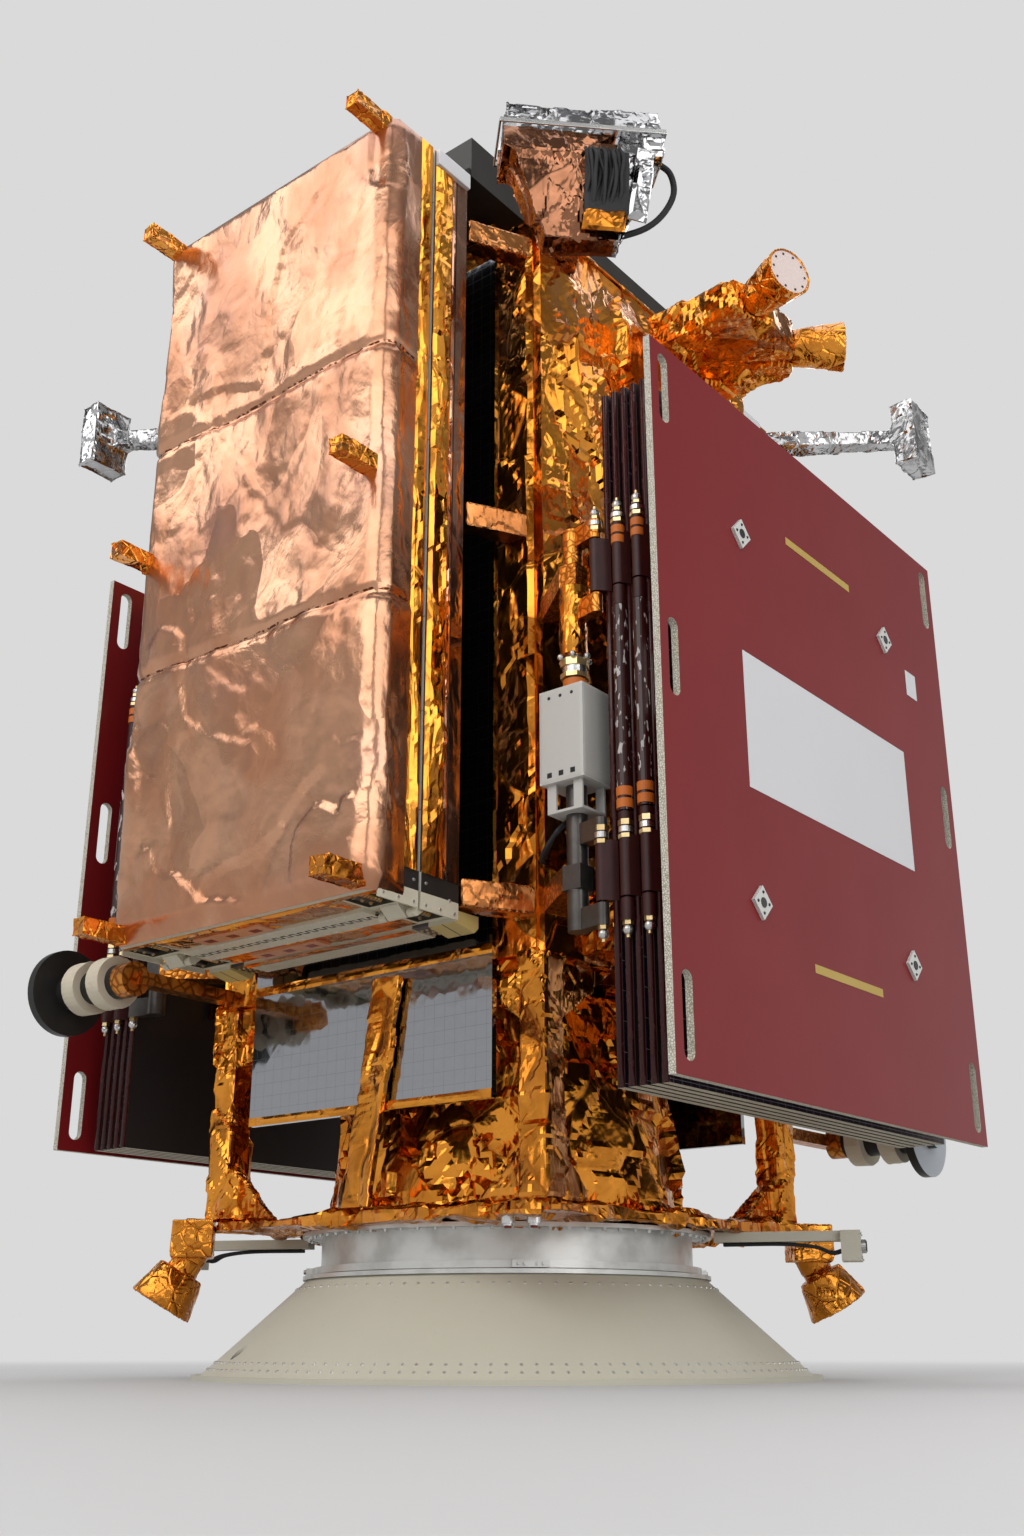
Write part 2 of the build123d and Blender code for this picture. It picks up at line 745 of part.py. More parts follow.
# Folded antenna wings, each of an inner and an outer panel
for side, sense in (("front", -1), ("back", 1)):
    with BuildPart() as inner_panel:
        with BuildSketch(Plane.XY.offset(antenna_bottom)):
            with Locations((0, sense * (wing_inner_face + 0.5 * antenna_thickness))):
                Rectangle(2 * antenna_half, antenna_thickness)
        extrude(amount=wing_top - antenna_bottom)
        top_foot = (
            sense * (wing_inner_face + antenna_foot[0]),
            wing_top,
            sense * (wing_inner_face + antenna_foot[1]),
            wing_top + foot_depth,
        )
        root_axis = (sense * wing_inner_face, antenna_centre_bottom)
        add(antenna_knuckles(root_axis, top_foot, outer=False))
        fold_axis = (sense * fold_axis_y, fold_axis_z)
        inner_foot = (
            sense * (wing_fold_face - antenna_foot[1]),
            antenna_bottom - foot_depth,
            sense * wing_fold_face,
            antenna_bottom,
        )
        add(antenna_knuckles(fold_axis, inner_foot, outer=True))
        add(lower_edge(sense, away=-1))
        add(radiating_strip(sense))
        add(hinge_pockets(sense, away=-1), mode=Mode.SUBTRACT)
    save(inner_panel.part, f"antenna_inner_{side}")

    with BuildPart() as outer_panel:
        blanket_face = wing_back_face + antenna_blanket
        with BuildSketch(Plane.XY.offset(antenna_bottom)):
            Polygon(
                (-antenna_half, sense * wing_outer_face),
                (antenna_half, sense * wing_outer_face),
                (antenna_half, sense * wing_back_face),
                (antenna_half - antenna_blanket, sense * blanket_face),
                (-antenna_half + antenna_blanket, sense * blanket_face),
                (-antenna_half, sense * wing_back_face),
                align=None,
            )
        extrude(amount=wing_top - antenna_bottom)
        outer_foot = (
            sense * wing_outer_face,
            antenna_bottom - foot_depth,
            sense * (wing_outer_face + antenna_foot[1]),
            antenna_bottom,
        )
        add(antenna_knuckles(fold_axis, outer_foot, outer=False))
        add(lower_edge(sense, away=1))
        add(hinge_pockets(sense, away=1), mode=Mode.SUBTRACT)
    save(outer_panel.part, f"antenna_outer_{side}")

    with BuildPart() as hold_posts:
        with BuildSketch(Plane.XZ.offset(-sense * blanket_face)):
            for height in hold_post_heights:
                with Locations((-hold_post_place, height), (hold_post_place, height)):
                    Rectangle(hold_post_width, hold_post_width)
        extrude(amount=-sense * hold_post_length)
    save(hold_posts.part, f"hold_posts_{side}")

    with BuildPart() as hold_arms:
        for height in hold_arm_heights:
            with BuildSketch(Plane.XY.offset(height - 0.5 * hold_arm_thickness)):
                for side_x in (-1, 1):
                    tip = wing_inner_face - antenna_rest_gap
                    Polygon(
                        (side_x * (body_wall_face - hold_arm_root), sense * body_half),
                        (side_x * body_wall_face, sense * body_half),
                        (side_x * (hold_post_place + 0.5 * hold_arm_width), sense * tip),
                        (side_x * (hold_post_place - 0.5 * hold_arm_width), sense * tip),
                        align=None,
                    )
            extrude(amount=hold_arm_thickness)
    save(hold_arms.part, f"hold_arms_{side}")


def array_knuckles(axis, foot, outer):
    """The end leaves with the pin, or the middle leaf, at both heights of one array hinge line."""
    leaves = []
    for height in hinge_heights:
        low = height - 0.5 * array_hinge_length
        high = height + 0.5 * array_hinge_length
        if outer:
            for start in (low, high - array_knuckle_end):
                leaves.append(
                    knuckle(Plane.XY.offset(start), axis, array_barrel, foot, array_knuckle_end)
                )
            with BuildPart() as pin:
                with BuildSketch(Plane.XY.offset(low)):
                    with Locations(axis):
                        Circle(array_pin)
                extrude(amount=array_hinge_length)
            leaves.append(pin.part)
        else:
            start = low + array_knuckle_end + array_knuckle_gap
            length = array_hinge_length - 2 * (array_knuckle_end + array_knuckle_gap)
            bore = array_pin + running_gap
            leaves.append(knuckle(Plane.XY.offset(start), axis, array_barrel, foot, length, bore))
    return leaves


hold_down_middle = (0.5 * (hold_down_near + hold_down_far), 0.5 * (hold_down_low + hold_down_high))
hold_down_spread = (hold_down_far - hold_down_near, hold_down_high - hold_down_low)

for side, sense in (("r", 1), ("l", -1)):
    # Folded panels, hinged far, near, far, near from the body outwards
    for number in range(1, panel_count + 1):
        inner_face = panel_first + (number - 1) * panel_pitch
        outer_face = inner_face + panel_thickness
        with BuildPart() as panel:
            with BuildSketch(Plane.XY.offset(panel_bottom)):
                with Locations((sense * (inner_face + 0.5 * panel_thickness), panel_middle)):
                    Rectangle(panel_thickness, panel_width)
            extrude(amount=panel_height)
            with BuildSketch(Plane.YZ.offset(sense * inner_face)):
                with Locations(hold_down_middle):
                    with GridLocations(*hold_down_spread, 2, 2):
                        Circle(hold_down_hole)
            extrude(amount=sense * panel_thickness, mode=Mode.SUBTRACT)
            for to_next in (False, True):
                if to_next and number == panel_count:
                    continue
                at_far_edge = (number % 2 == 1) == to_next
                if at_far_edge:
                    foot_y = (panel_far, panel_far + foot_depth)
                    axis_y = far_axis_y
                else:
                    foot_y = (panel_near - foot_depth, panel_near)
                    axis_y = near_axis_y
                if to_next:
                    axis_x = outer_face + 0.5 * panel_gap
                elif number == 1:
                    axis_x = root_axis_x
                else:
                    axis_x = inner_face - 0.5 * panel_gap
                foot = (sense * inner_face, foot_y[0], sense * outer_face, foot_y[1])
                add(array_knuckles((sense * axis_x, axis_y), foot, outer=to_next))
        save(panel.part, f"solar_{side}{number}")

    # Red cover, carried on the outermost panel by four tubes
    with BuildPart() as array_cover:
        tube_radius = hold_down_hole + cover_tube_wall
        with BuildSketch(Plane.YZ.offset(sense * stack_face)):
            with Locations(hold_down_middle):
                with GridLocations(*hold_down_spread, 2, 2):
                    Circle(tube_radius)
                    Circle(hold_down_hole, mode=Mode.SUBTRACT)
        extrude(amount=sense * cover_standoff)
        with BuildSketch(Plane.YZ.offset(sense * (stack_face + cover_standoff))):
            cover_middle = (0.5 * (cover_near + cover_far), 0.5 * (cover_low + cover_high))
            with Locations(cover_middle):
                Rectangle(cover_far - cover_near, cover_high - cover_low)
            for height in cover_slot_heights:
                near_slot = (cover_near + cover_slot_inset, height)
                far_slot = (cover_far - cover_slot_inset, height)
                with Locations(near_slot, far_slot):
                    SlotOverall(cover_slot[1], cover_slot[0], rotation=90, mode=Mode.SUBTRACT)
        extrude(amount=sense * cover_thickness)
        with BuildSketch(Plane.YZ.offset(sense * (stack_face + cover_standoff + cover_thickness))):
            with Locations(hold_down_middle):
                with GridLocations(*hold_down_spread, 2, 2):
                    Rectangle(cover_fixing_side, cover_fixing_side, rotation=45)
                    Circle(0.5 * hold_down_hole, mode=Mode.SUBTRACT)
        extrude(amount=sense * cover_fixing_thickness)
    save(array_cover.part, f"array_cover_{side}")

    # Outriggers from the side panel to the stack's hold-down points
    with BuildPart() as outriggers:
        with BuildSketch(Plane.YZ.offset(sense * body_half)):
            with Locations(hold_down_middle):
                with GridLocations(*hold_down_spread, 2, 2):
                    Rectangle(outrigger_root, outrigger_root)
        extrude(amount=sense * (panel_first - array_rest_gap - body_half), taper=outrigger_taper)
    save(outriggers.part, f"outriggers_{side}")

    # Root bracket: arms, torque tube, drive housing and the fixed hinge leaves
    with BuildPart() as array_root:
        tube_x = sense * (root_axis_x - root_tube_offset[0])
        tube_y = near_axis_y + root_tube_offset[1]
        for height in hinge_heights:
            with BuildSketch(Plane.XY.offset(height - 0.5 * root_arm_thickness)):
                Polygon(
                    (sense * body_half, -body_half + root_arm_width),
                    (sense * body_half, -body_half),
                    (tube_x - sense * root_tube_radius, tube_y - root_tube_radius),
                    (tube_x + sense * root_tube_radius, tube_y - root_tube_radius),
                    (tube_x + sense * root_tube_radius, tube_y + root_tube_radius),
                    align=None,
                )
            extrude(amount=root_arm_thickness)
        with BuildSketch(Plane.XY.offset(hinge_heights[0] - 0.5 * array_hinge_length)):
            with Locations((tube_x, tube_y)):
                Circle(root_tube_radius)
        extrude(amount=hinge_heights[1] - hinge_heights[0] + array_hinge_length)
        with Locations((tube_x, tube_y, drive_height)):
            Box(*drive_size)
        leaf_foot = (
            tube_x,
            tube_y - 0.5 * root_tube_radius,
            tube_x + sense * 0.8 * root_tube_radius,
            tube_y + 0.5 * root_tube_radius,
        )
        add(array_knuckles((sense * root_axis_x, near_axis_y), leaf_foot, outer=True))
    save(array_root.part, f"array_root_{side}")

# Silver box at the top near corner, turned to face outwards, with a flared lid, a curtain under it and its arm
with BuildPart() as corner_box:
    box_x = body_half + corner_box_offset[0]
    box_y = -body_half - corner_box_offset[1]
    box_z = body_top - corner_box_drop
    box_length, box_width, box_height = corner_box_size
    turned = Plane(origin=(box_x, box_y, box_z), x_dir=(1, 1, 0), z_dir=(0, 0, 1))
    with BuildSketch(turned):
        Rectangle(box_length, box_width)
    with BuildSketch(turned.offset(0.5 * box_height)):
        Rectangle(box_length - corner_box_flare, box_width - corner_box_flare)
    loft()
    with BuildSketch(turned):
        Rectangle(box_length, box_width)
    extrude(amount=-0.5 * box_height)
    with BuildSketch(turned.offset(-0.5 * box_height)):
        Rectangle(*corner_curtain_top)
    with BuildSketch(turned.offset(-0.5 * box_height - corner_curtain_drop)):
        Rectangle(*corner_curtain_foot)
    loft()
    with BuildSketch(Plane.XY.offset(box_z - 0.5 * corner_arm_height)):
        Polygon(
            (body_half, -body_half + 2 * corner_arm_width),
            (body_half, -body_half),
            (box_x - corner_arm_width, box_y),
            (box_x, box_y + corner_arm_width),
            align=None,
        )
    extrude(amount=corner_arm_height)
save(corner_box.part, "corner_box")

# Foil boxes on arms at two opposite corners
for name, sense in (("right", 1), ("left", -1)):
    with BuildPart() as foil_box:
        box_x = body_half + foil_box_offset[0]
        box_y = body_half + foil_box_offset[1]
        box_z = body_top - foil_box_drop
        with Locations((sense * box_x, sense * box_y, box_z)):
            Box(*foil_box_size)
        with BuildSketch(Plane.XY.offset(box_z - 0.5 * foil_arm_width)):
            Polygon(
                (sense * body_half, sense * (body_half - 2 * foil_arm_width)),
                (sense * body_half, sense * body_half),
                (sense * box_x, sense * (box_y + 0.5 * foil_arm_width)),
                (sense * box_x, sense * (box_y - 0.5 * foil_arm_width)),
                align=None,
            )
        extrude(amount=foil_arm_width)
    save(foil_box.part, f"foil_box_{name}")

# Shelf on the right side with two star tracker baffles, each turned its own way on a seat across its foot
shelf_level = body_top - shelf_drop
tracker_feet = []
shelf_outline = []
for turn, mouth_out, mouth_y in tracker_mouths:
    ahead = polar(1, turn)
    foot = (body_half + mouth_out - tracker_length * ahead[0], mouth_y - tracker_length * ahead[1])
    tracker_feet.append((foot, ahead))
    for share in (-0.5, 0.5):
        shelf_outline.append((foot[0] - share * tracker_seat * ahead[1], foot[1] + share * tracker_seat * ahead[0]))
with BuildPart() as tracker_shelf:
    with BuildSketch(Plane.XY.offset(shelf_level - 0.5 * shelf_height)):
        Polygon((body_half, shelf_outline[0][1]), *shelf_outline, (body_half, shelf_outline[-1][1]), align=None)
    extrude(amount=shelf_height)
save(tracker_shelf.part, "tracker_shelf")

with BuildPart() as star_trackers:
    for foot, ahead in tracker_feet:
        seat = Plane(origin=(*foot, shelf_level), x_dir=(*ahead, 0), z_dir=(ahead[1], -ahead[0], 0))
        with BuildSketch(seat):
            Polygon(
                (0, 0),
                (0, tracker_neck),
                (tracker_length, tracker_radius),
                (tracker_length, tracker_radius - tracker_wall),
                (tracker_wall, tracker_neck - tracker_wall),
                (tracker_wall, 0),
                align=None,
            )
        revolve(axis=Axis(seat.origin, seat.x_dir))
save(star_trackers.part, "star_trackers")

# Side antennas at two opposite corners, on the body and on a post: a bracket, a boom and a disc with a hub
with BuildPart() as side_antennas:
    post_face = post_place + 0.5 * post_width
    for sense, root_y, height in ((-1, body_half, boom_heights[0]), (1, post_face, boom_heights[1])):
        bracket_x = sense * (body_half - boom_inset)
        bracket_end = sense * (body_half + boom_bracket[1])
        with BuildSketch(Plane.XY.offset(height - 0.5 * boom_bracket[2])):
            Polygon(
                (bracket_x - 0.5 * boom_bracket[0], sense * root_y),
                (bracket_x + 0.5 * boom_bracket[0], sense * root_y),
                (bracket_x + 0.5 * boom_bracket[0], bracket_end),
                (bracket_x - 0.5 * boom_bracket[0], bracket_end),
                align=None,
            )
        extrude(amount=boom_bracket[2])
        boom = Plane(origin=(bracket_x, bracket_end, height), z_dir=(sense, 0, 0))
        with BuildSketch(boom):
            Circle(boom_radius)
        extrude(amount=boom_length)
        collar_radius, collar_length = boom_collar
        for boom_place in boom_collar_places:
            with BuildSketch(boom.offset(boom_place)):
                Circle(collar_radius)
            extrude(amount=collar_length)
        with BuildSketch(boom.offset(boom_length)):
            Circle(dish_radius)
        extrude(amount=dish_thickness)
        with BuildSketch(boom.offset(boom_length + dish_thickness)):
            Circle(dish_hub)
        extrude(amount=dish_thickness)
save(side_antennas.part, "side_antennas")

# Thrusters under blocks at two opposite corners of the lower deck: a stem and a wide cup that leans out
with BuildPart() as thrusters:
    block_length, block_width, block_height = thruster_block
    stem_length, stem_radius = thruster_stem
    seat_out, seat_drop = thruster_seat
    block_root = sqrt(2) * (deck_half - 0.5 * deck_chamfer)
    for angle in thruster_angles:
        with BuildSketch(Plane.XY.offset(deck_top - block_height)):
            with Locations(Location((0, 0, 0), (0, 0, angle))):
                with Locations((block_root, 0)):
                    Rectangle(block_length, block_width, align=(Align.MIN, Align.CENTER))
        extrude(amount=block_height)
        cup_foot = (*polar(block_root + seat_out, angle), deck_top - seat_drop)
        cup_axis = (*polar(sin(radians(thruster_tilt)), angle), -cos(radians(thruster_tilt)))
        with BuildSketch(Plane(origin=cup_foot, x_dir=cup_axis, z_dir=(*polar(1, angle + 90), 0))):
            Polygon(
                (-stem_length, 0),
                (-stem_length, stem_radius),
                (0, stem_radius),
                (0, thruster_throat),
                (thruster_length, thruster_mouth),
                (thruster_length, thruster_mouth - thruster_wall),
                (thruster_wall, thruster_throat - thruster_wall),
                (thruster_wall, 0),
                align=None,
            )
        revolve(axis=Axis(cup_foot, cup_axis))
save(thrusters.part, "thrusters")

# Connector brackets that reach out past the cone on two sides
connector_root = lip_inner + ring_flange_width + connector_clearance
with BuildPart() as connector_brackets:
    for angle in connector_angles:
        with Locations(Location((0, 0, deck_bottom), (0, 0, angle))):
            with Locations((connector_root, 0, 0)):
                Box(*connector_arm, align=(Align.MIN, Align.CENTER, Align.MAX))
            with Locations((connector_root + connector_arm[0], 0, 0)):
                Box(*connector_block, align=(Align.MAX, Align.CENTER, Align.MAX))
save(connector_brackets.part, "connector_brackets")
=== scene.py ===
import math

import bmesh
import bpy
from mathutils import Matrix, Vector, noise


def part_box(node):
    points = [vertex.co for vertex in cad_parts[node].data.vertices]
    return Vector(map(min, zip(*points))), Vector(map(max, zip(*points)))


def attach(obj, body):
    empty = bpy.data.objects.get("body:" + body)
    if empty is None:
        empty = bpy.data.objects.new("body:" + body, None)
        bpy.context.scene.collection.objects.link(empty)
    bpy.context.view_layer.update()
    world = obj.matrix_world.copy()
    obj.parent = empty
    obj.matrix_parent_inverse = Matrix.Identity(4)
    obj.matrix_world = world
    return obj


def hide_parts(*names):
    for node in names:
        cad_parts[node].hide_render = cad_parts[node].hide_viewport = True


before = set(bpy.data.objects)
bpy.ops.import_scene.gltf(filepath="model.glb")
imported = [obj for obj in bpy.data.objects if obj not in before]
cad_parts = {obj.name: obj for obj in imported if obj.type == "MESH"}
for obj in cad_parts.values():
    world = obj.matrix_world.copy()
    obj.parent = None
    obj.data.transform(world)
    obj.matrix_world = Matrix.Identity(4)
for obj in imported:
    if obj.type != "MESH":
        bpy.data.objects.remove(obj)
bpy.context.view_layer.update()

# noise.noise_vector starts from the clock unless a seed is set, and the folds would differ each run
noise.seed_set(7)

SIDES = (("r", 1), ("l", -1))
WINGS = (("front", -1), ("back", 1))
PANELS = range(1, 6)

# Places on the antenna wings, in metres: distances from the middle plane, and heights
WING_HALF = 0.532
INNER_NEAR, INNER_FAR = 0.880, 1.045
OUTER_NEAR, OUTER_FAR = 1.055, 1.220
BLANKET_FACE = 1.242
BLANKET_EDGE = 1.118
FOIL_EDGE = 0.939
WING_LOW, WING_HIGH = 1.229, 3.815
SEAMS = (2.110, 2.945)
COMB_HALF = 0.385
COMB_FAR = 0.068
FOLD = 1.050

# Places on the folded arrays, in metres: distances from the middle plane, and heights
ROOT_HINGE = 0.980
HINGES_START = 0.992
MIDDLES_START = 1.009
PITCH = 0.034
NEAR_HINGE = -0.809
NEAR_EDGE = -0.7855
PANEL_LOW, PANEL_HIGH = 0.717, 2.788
COVER_FACE = 1.2440
FIXING_FACE = 1.2540

# The drive housing on each array's root tube
DRIVE_X, DRIVE_Y = 0.885, -0.790
DRIVE_LOW, DRIVE_HIGH = 1.5585, 1.8415
DRIVE_HALF_X, DRIVE_HALF_Y = 0.0765, 0.0715
DRIVE_FOOT = 1.480

# Places of the units that are turned away from the axes
TRACKERS = (
    # turn in degrees, foot of the baffle
    (-20.0, (1.0835, 0.0650, 3.610)),
    (36.0, (1.0463, 0.3983, 3.610)),
)
TRACKER_LENGTH = 0.190
TRACKER_LINING = (
    # distance from the foot, radius
    (0.0055, 0.001), (0.0055, 0.0590), (0.1885, 0.0825), (0.1885, 0.0805), (0.0250, 0.0590), (0.0250, 0.001),
)
CUP_TURNS = (45.0, 225.0)
CUP_FOOT = (1.0355, 0.313)
CUP_TILT = 30.0
CUP_LINING = (
    # distance from the foot, radius
    (0.0055, 0.001), (0.0055, 0.0630), (0.1085, 0.0925), (0.1085, 0.0905), (0.0085, 0.0605), (0.0085, 0.001),
)
CUP_PLATE = ((0.008, 0.036), (0.013, 0.036), (0.014, 0.034))
CONNECTOR_TURNS = (25.0, 205.0)
CONNECTOR_FACE = 1.1230
CONNECTOR_HEIGHT = 0.385
CONNECTOR_ROUTE = (
    # distance out, share of the socket's distance across, height
    (1.066, 1.0, 0.372), (1.032, 0.9, 0.366), (0.982, 0.4, 0.384), (0.880, 0.3, 0.394), (0.700, 0.3, 0.394),
)
BOX_PLACE = Matrix.Translation((1.046, -0.945, 3.600)) @ Matrix.Rotation(math.radians(45), 4, "Z")


# Shader maths

class Value:
    """An output socket of a material that takes part in sums."""

    def __init__(self, finish, socket):
        self.finish = finish
        self.socket = socket

    def __add__(self, other):
        return self.finish.sum("ADD", self, other)

    def __radd__(self, other):
        return self.finish.sum("ADD", other, self)

    def __sub__(self, other):
        return self.finish.sum("SUBTRACT", self, other)

    def __rsub__(self, other):
        return self.finish.sum("SUBTRACT", other, self)

    def __mul__(self, other):
        return self.finish.sum("MULTIPLY", self, other)

    def __mod__(self, other):
        return self.finish.sum("FLOORED_MODULO", self, other)

    def __gt__(self, other):
        return self.finish.sum("GREATER_THAN", self, other)

    def __lt__(self, other):
        return self.finish.sum("LESS_THAN", self, other)

    def __abs__(self):
        return self.finish.sum("ABSOLUTE", self)


class Network:
    """The nodes of a material or of the world."""

    def __init__(self, tree):
        self.tree = tree

    def place_of(self, name):
        """One of the coordinates of the point that is shaded."""
        return Value(self, self.tree.nodes.new("ShaderNodeTexCoord").outputs[name])

    def put(self, socket, value):
        """Link a value to a socket, or write a constant on it."""
        if isinstance(value, Value):
            self.tree.links.new(value.socket, socket)
        else:
            socket.default_value = value

    def node(self, kind, settings, sockets, output=0):
        """Any node: its settings first, then the values or links of its sockets."""
        made = self.tree.nodes.new(kind)
        for key, value in settings.items():
            setattr(made, key, value)
        for key, value in sockets.items():
            self.put(made.inputs[key], value)
        return None if output is None else Value(self, made.outputs[output])

    def sum(self, operation, *values):
        """A Math node on one or two values."""
        return self.node("ShaderNodeMath", {"operation": operation}, dict(enumerate(values)))

    def most(self, *values):
        """The largest of several masks."""
        result = values[0]
        for value in values[1:]:
            result = self.sum("MAXIMUM", result, value)
        return result

    def axes(self, vector):
        """The three parts of a vector."""
        split = self.tree.nodes.new("ShaderNodeSeparateXYZ")
        self.put(split.inputs[0], vector)
        return [Value(self, output) for output in split.outputs]

    def fade(self, value, low, high):
        """0 below low, 1 above high, smooth between them."""
        settings = {"interpolation_type": "SMOOTHSTEP"}
        return self.node("ShaderNodeMapRange", settings, {"Value": value, "From Min": low, "From Max": high})


class Finish(Network):
    """A material being made: its nodes, its coordinates and its shader."""

    def __init__(self, name, metallic=0.0, specular=0.5):
        self.material = bpy.data.materials.new(name)
        self.material.use_nodes = True
        super().__init__(self.material.node_tree)
        self.shader = self.tree.nodes["Principled BSDF"]
        self.set("Metallic", metallic)
        self.set("Specular IOR Level", specular)
        self.set("Coat Roughness", 0.08)
        self.place = self.place_of("Object")
        self.facing = self.place_of("Normal")

    def set(self, name, value):
        """Feed one socket of the shader."""
        self.put(self.shader.inputs[name], value)

    def vector(self, operation, *values):
        """A Vector Math node on up to three vectors."""
        return self.node("ShaderNodeVectorMath", {"operation": operation}, dict(enumerate(values)))

    def stretched(self, scale):
        """The place on the piece, stretched by a factor along each axis."""
        return self.vector("MULTIPLY", self.place, scale)

    def warped(self, scale, amount, stretch=(1.0, 1.0, 1.0)):
        """The place on the piece, stretched and then pushed about by soft noise."""
        push = self.node("ShaderNodeTexNoise", {}, {"Vector": self.place, "Scale": scale}, 1)
        return self.vector("MULTIPLY_ADD", push, (amount,) * 3, self.stretched(stretch))

    def noise(self, scale, detail=3.0, roughness=0.5, place=None):
        """Soft noise from 0 to 1."""
        sockets = {"Vector": place or self.place, "Scale": scale, "Detail": detail, "Roughness": roughness}
        return self.node("ShaderNodeTexNoise", {}, sockets)

    def cells(self, scale, feature="DISTANCE_TO_EDGE", place=None, output=0):
        """Random cells, as the distance to their edges or as another of the node's features."""
        sockets = {"Vector": place or self.place, "Scale": scale}
        return self.node("ShaderNodeTexVoronoi", {"feature": feature}, sockets, output)

    def mix(self, factor, first, second):
        """A blend of two colours, each a colour or a value."""
        sockets = {0: factor}
        for index, colour in ((6, first), (7, second)):
            sockets[index] = colour if isinstance(colour, Value) else (*colour, 1)
        return self.node("ShaderNodeMix", {"data_type": "RGBA"}, sockets, 2)

    def lines(self, coordinate, pitch, width):
        """1 on thin lines that repeat along a coordinate, 0 between them."""
        return (coordinate % pitch) < width

    def near(self, coordinate, value, reach):
        """1 where a coordinate is within reach of a value."""
        return abs(coordinate - value) < reach

    def facets(self, scale, tilt, place):
        """The surface's direction, tilted by chance in cells of two sizes, like crumpled foil's flats."""
        direction = self.node("ShaderNodeNewGeometry", {}, {}, 1)
        for size, amount in ((scale, tilt), (scale * 2.3, tilt * 0.35)):
            chance = self.cells(size, feature="F1", place=place, output=1)
            level = self.vector("ADD", direction, (-0.5 * amount,) * 3)
            direction = self.vector("MULTIPLY_ADD", chance, (amount,) * 3, level)
        return self.vector("NORMALIZE", direction)

    def bump(self, height, distance, strength=1.0, direction=None):
        """Relief of a height map, in metres, on the surface or on a direction that is already tilted."""
        sockets = {"Height": height, "Distance": distance, "Strength": strength}
        if direction:
            sockets["Normal"] = direction
        self.set("Normal", self.node("ShaderNodeBump", {}, sockets))


# Finishes

def foil_finish(
    name, colour, shade, roughness=0.14, fold=6.0, tilt=0.6, stretch=(1.0, 1.0, 0.6), lower=None,
):
    """Crumpled metal foil: facets of two sizes, thin creases darkened with painted shade, duller patches, a
    second colour low down.
    """
    foil = Finish(name, metallic=1.0)
    x, y, z = foil.axes(foil.place)
    sheet = foil.warped(3.0, 0.16, stretch)
    edges = foil.cells(fold, place=sheet)
    # Painted shade: the foil is darkened along its thin creases
    crease_shade = 1 - foil.fade(edges, 0.0, 0.030)
    dull = foil.fade(foil.noise(5.0, detail=4.0), 0.40, 0.66)
    # Random duller patches, plus the painted shade in the creases
    dull_and_crease_shade = dull * 0.55 + crease_shade * 0.25
    look = foil.mix(dull_and_crease_shade, colour, shade)
    if lower:
        height, reach, low_colour, low_shade = lower
        wander = (foil.noise(14.0) - 0.5) * 0.03
        curtain = (z + wander < height) * (x + y + wander * 2 < reach)
        look = foil.mix(curtain, look, foil.mix(dull_and_crease_shade, low_colour, low_shade))
    foil.set("Base Color", look)
    foil.set("Roughness", roughness + dull * 0.10 + crease_shade * 0.12)
    relief = foil.fade(edges, 0.0, 0.10) * 0.12 + foil.noise(9.0, detail=3.0, place=sheet)
    foil.bump(relief, 0.016, direction=foil.facets(fold, tilt, sheet))
    return foil.material


def blanket_finish(name, colour, shade, tint):
    """Smooth pink copper blanket: long soft pulls, fine wrinkles, violet patches, brown stitched seams."""
    film = Finish(name, metallic=1.0)
    z = film.axes(film.place)[2]
    sheet = film.warped(2.0, 0.30, (1.0, 1.0, 0.7))
    pulls = film.noise(3.4, detail=5.0, roughness=0.55, place=sheet)
    wrinkles = film.noise(20.0, detail=4.0, place=film.stretched((1.0, 1.0, 0.6)))
    tucks = film.cells(5.5, place=sheet)
    wander = (film.noise(5.0, detail=3.0) - 0.5) * 0.020
    seam = film.most(*(film.near(z + wander, height, 0.0035) for height in SEAMS))
    stitch = seam * film.fade(film.noise(60.0, detail=1.0), 0.42, 0.55)
    dull = film.fade(pulls, 0.38, 0.62)
    patch = film.fade(film.noise(1.7, detail=3.0), 0.52, 0.70) * 0.4
    look = film.mix(patch, film.mix(dull * 0.6, colour, shade), tint)
    film.set("Base Color", film.mix(stitch, look, (0.12, 0.035, 0.015)))
    film.set("Roughness", 0.20 + dull * 0.10 + wrinkles * 0.06 + stitch * 0.3)
    relief = pulls * 0.9 + wrinkles * 0.12 + tucks * 0.35 + seam * 0.1
    film.bump(relief, 0.016, direction=film.facets(4.5, 0.18, sheet))
    return film.material


def paint_finish(name, colour, shade, roughness=0.45, speckle=140.0):
    """Sprayed paint: faint clouds of shade and a fine orange peel."""
    paint = Finish(name)
    cloud = paint.noise(3.0, detail=6.0, roughness=0.6)
    peel = paint.noise(speckle, detail=1.0)
    scuff = paint.fade(paint.noise(28.0, detail=5.0, roughness=0.7), 0.62, 0.74)
    paint.set("Base Color", paint.mix(cloud * 0.6 + scuff * 0.35, colour, shade))
    paint.set("Roughness", roughness + cloud * 0.12 + scuff * 0.1)
    paint.bump(peel, 0.00015)
    return paint.material


def metal_finish(name, colour, shade, roughness=0.32):
    """Machined or rolled metal with a fine grain and faint stains."""
    metal = Finish(name, metallic=1.0)
    brushed = metal.noise(60.0, detail=3.0, place=metal.stretched((1.0, 1.0, 14.0)))
    stain = metal.fade(metal.noise(9.0, detail=4.0), 0.4, 0.75)
    metal.set("Base Color", metal.mix(stain * 0.7, colour, shade))
    metal.set("Roughness", roughness + brushed * 0.16 + stain * 0.1)
    metal.bump(brushed, 0.0002)
    return metal.material


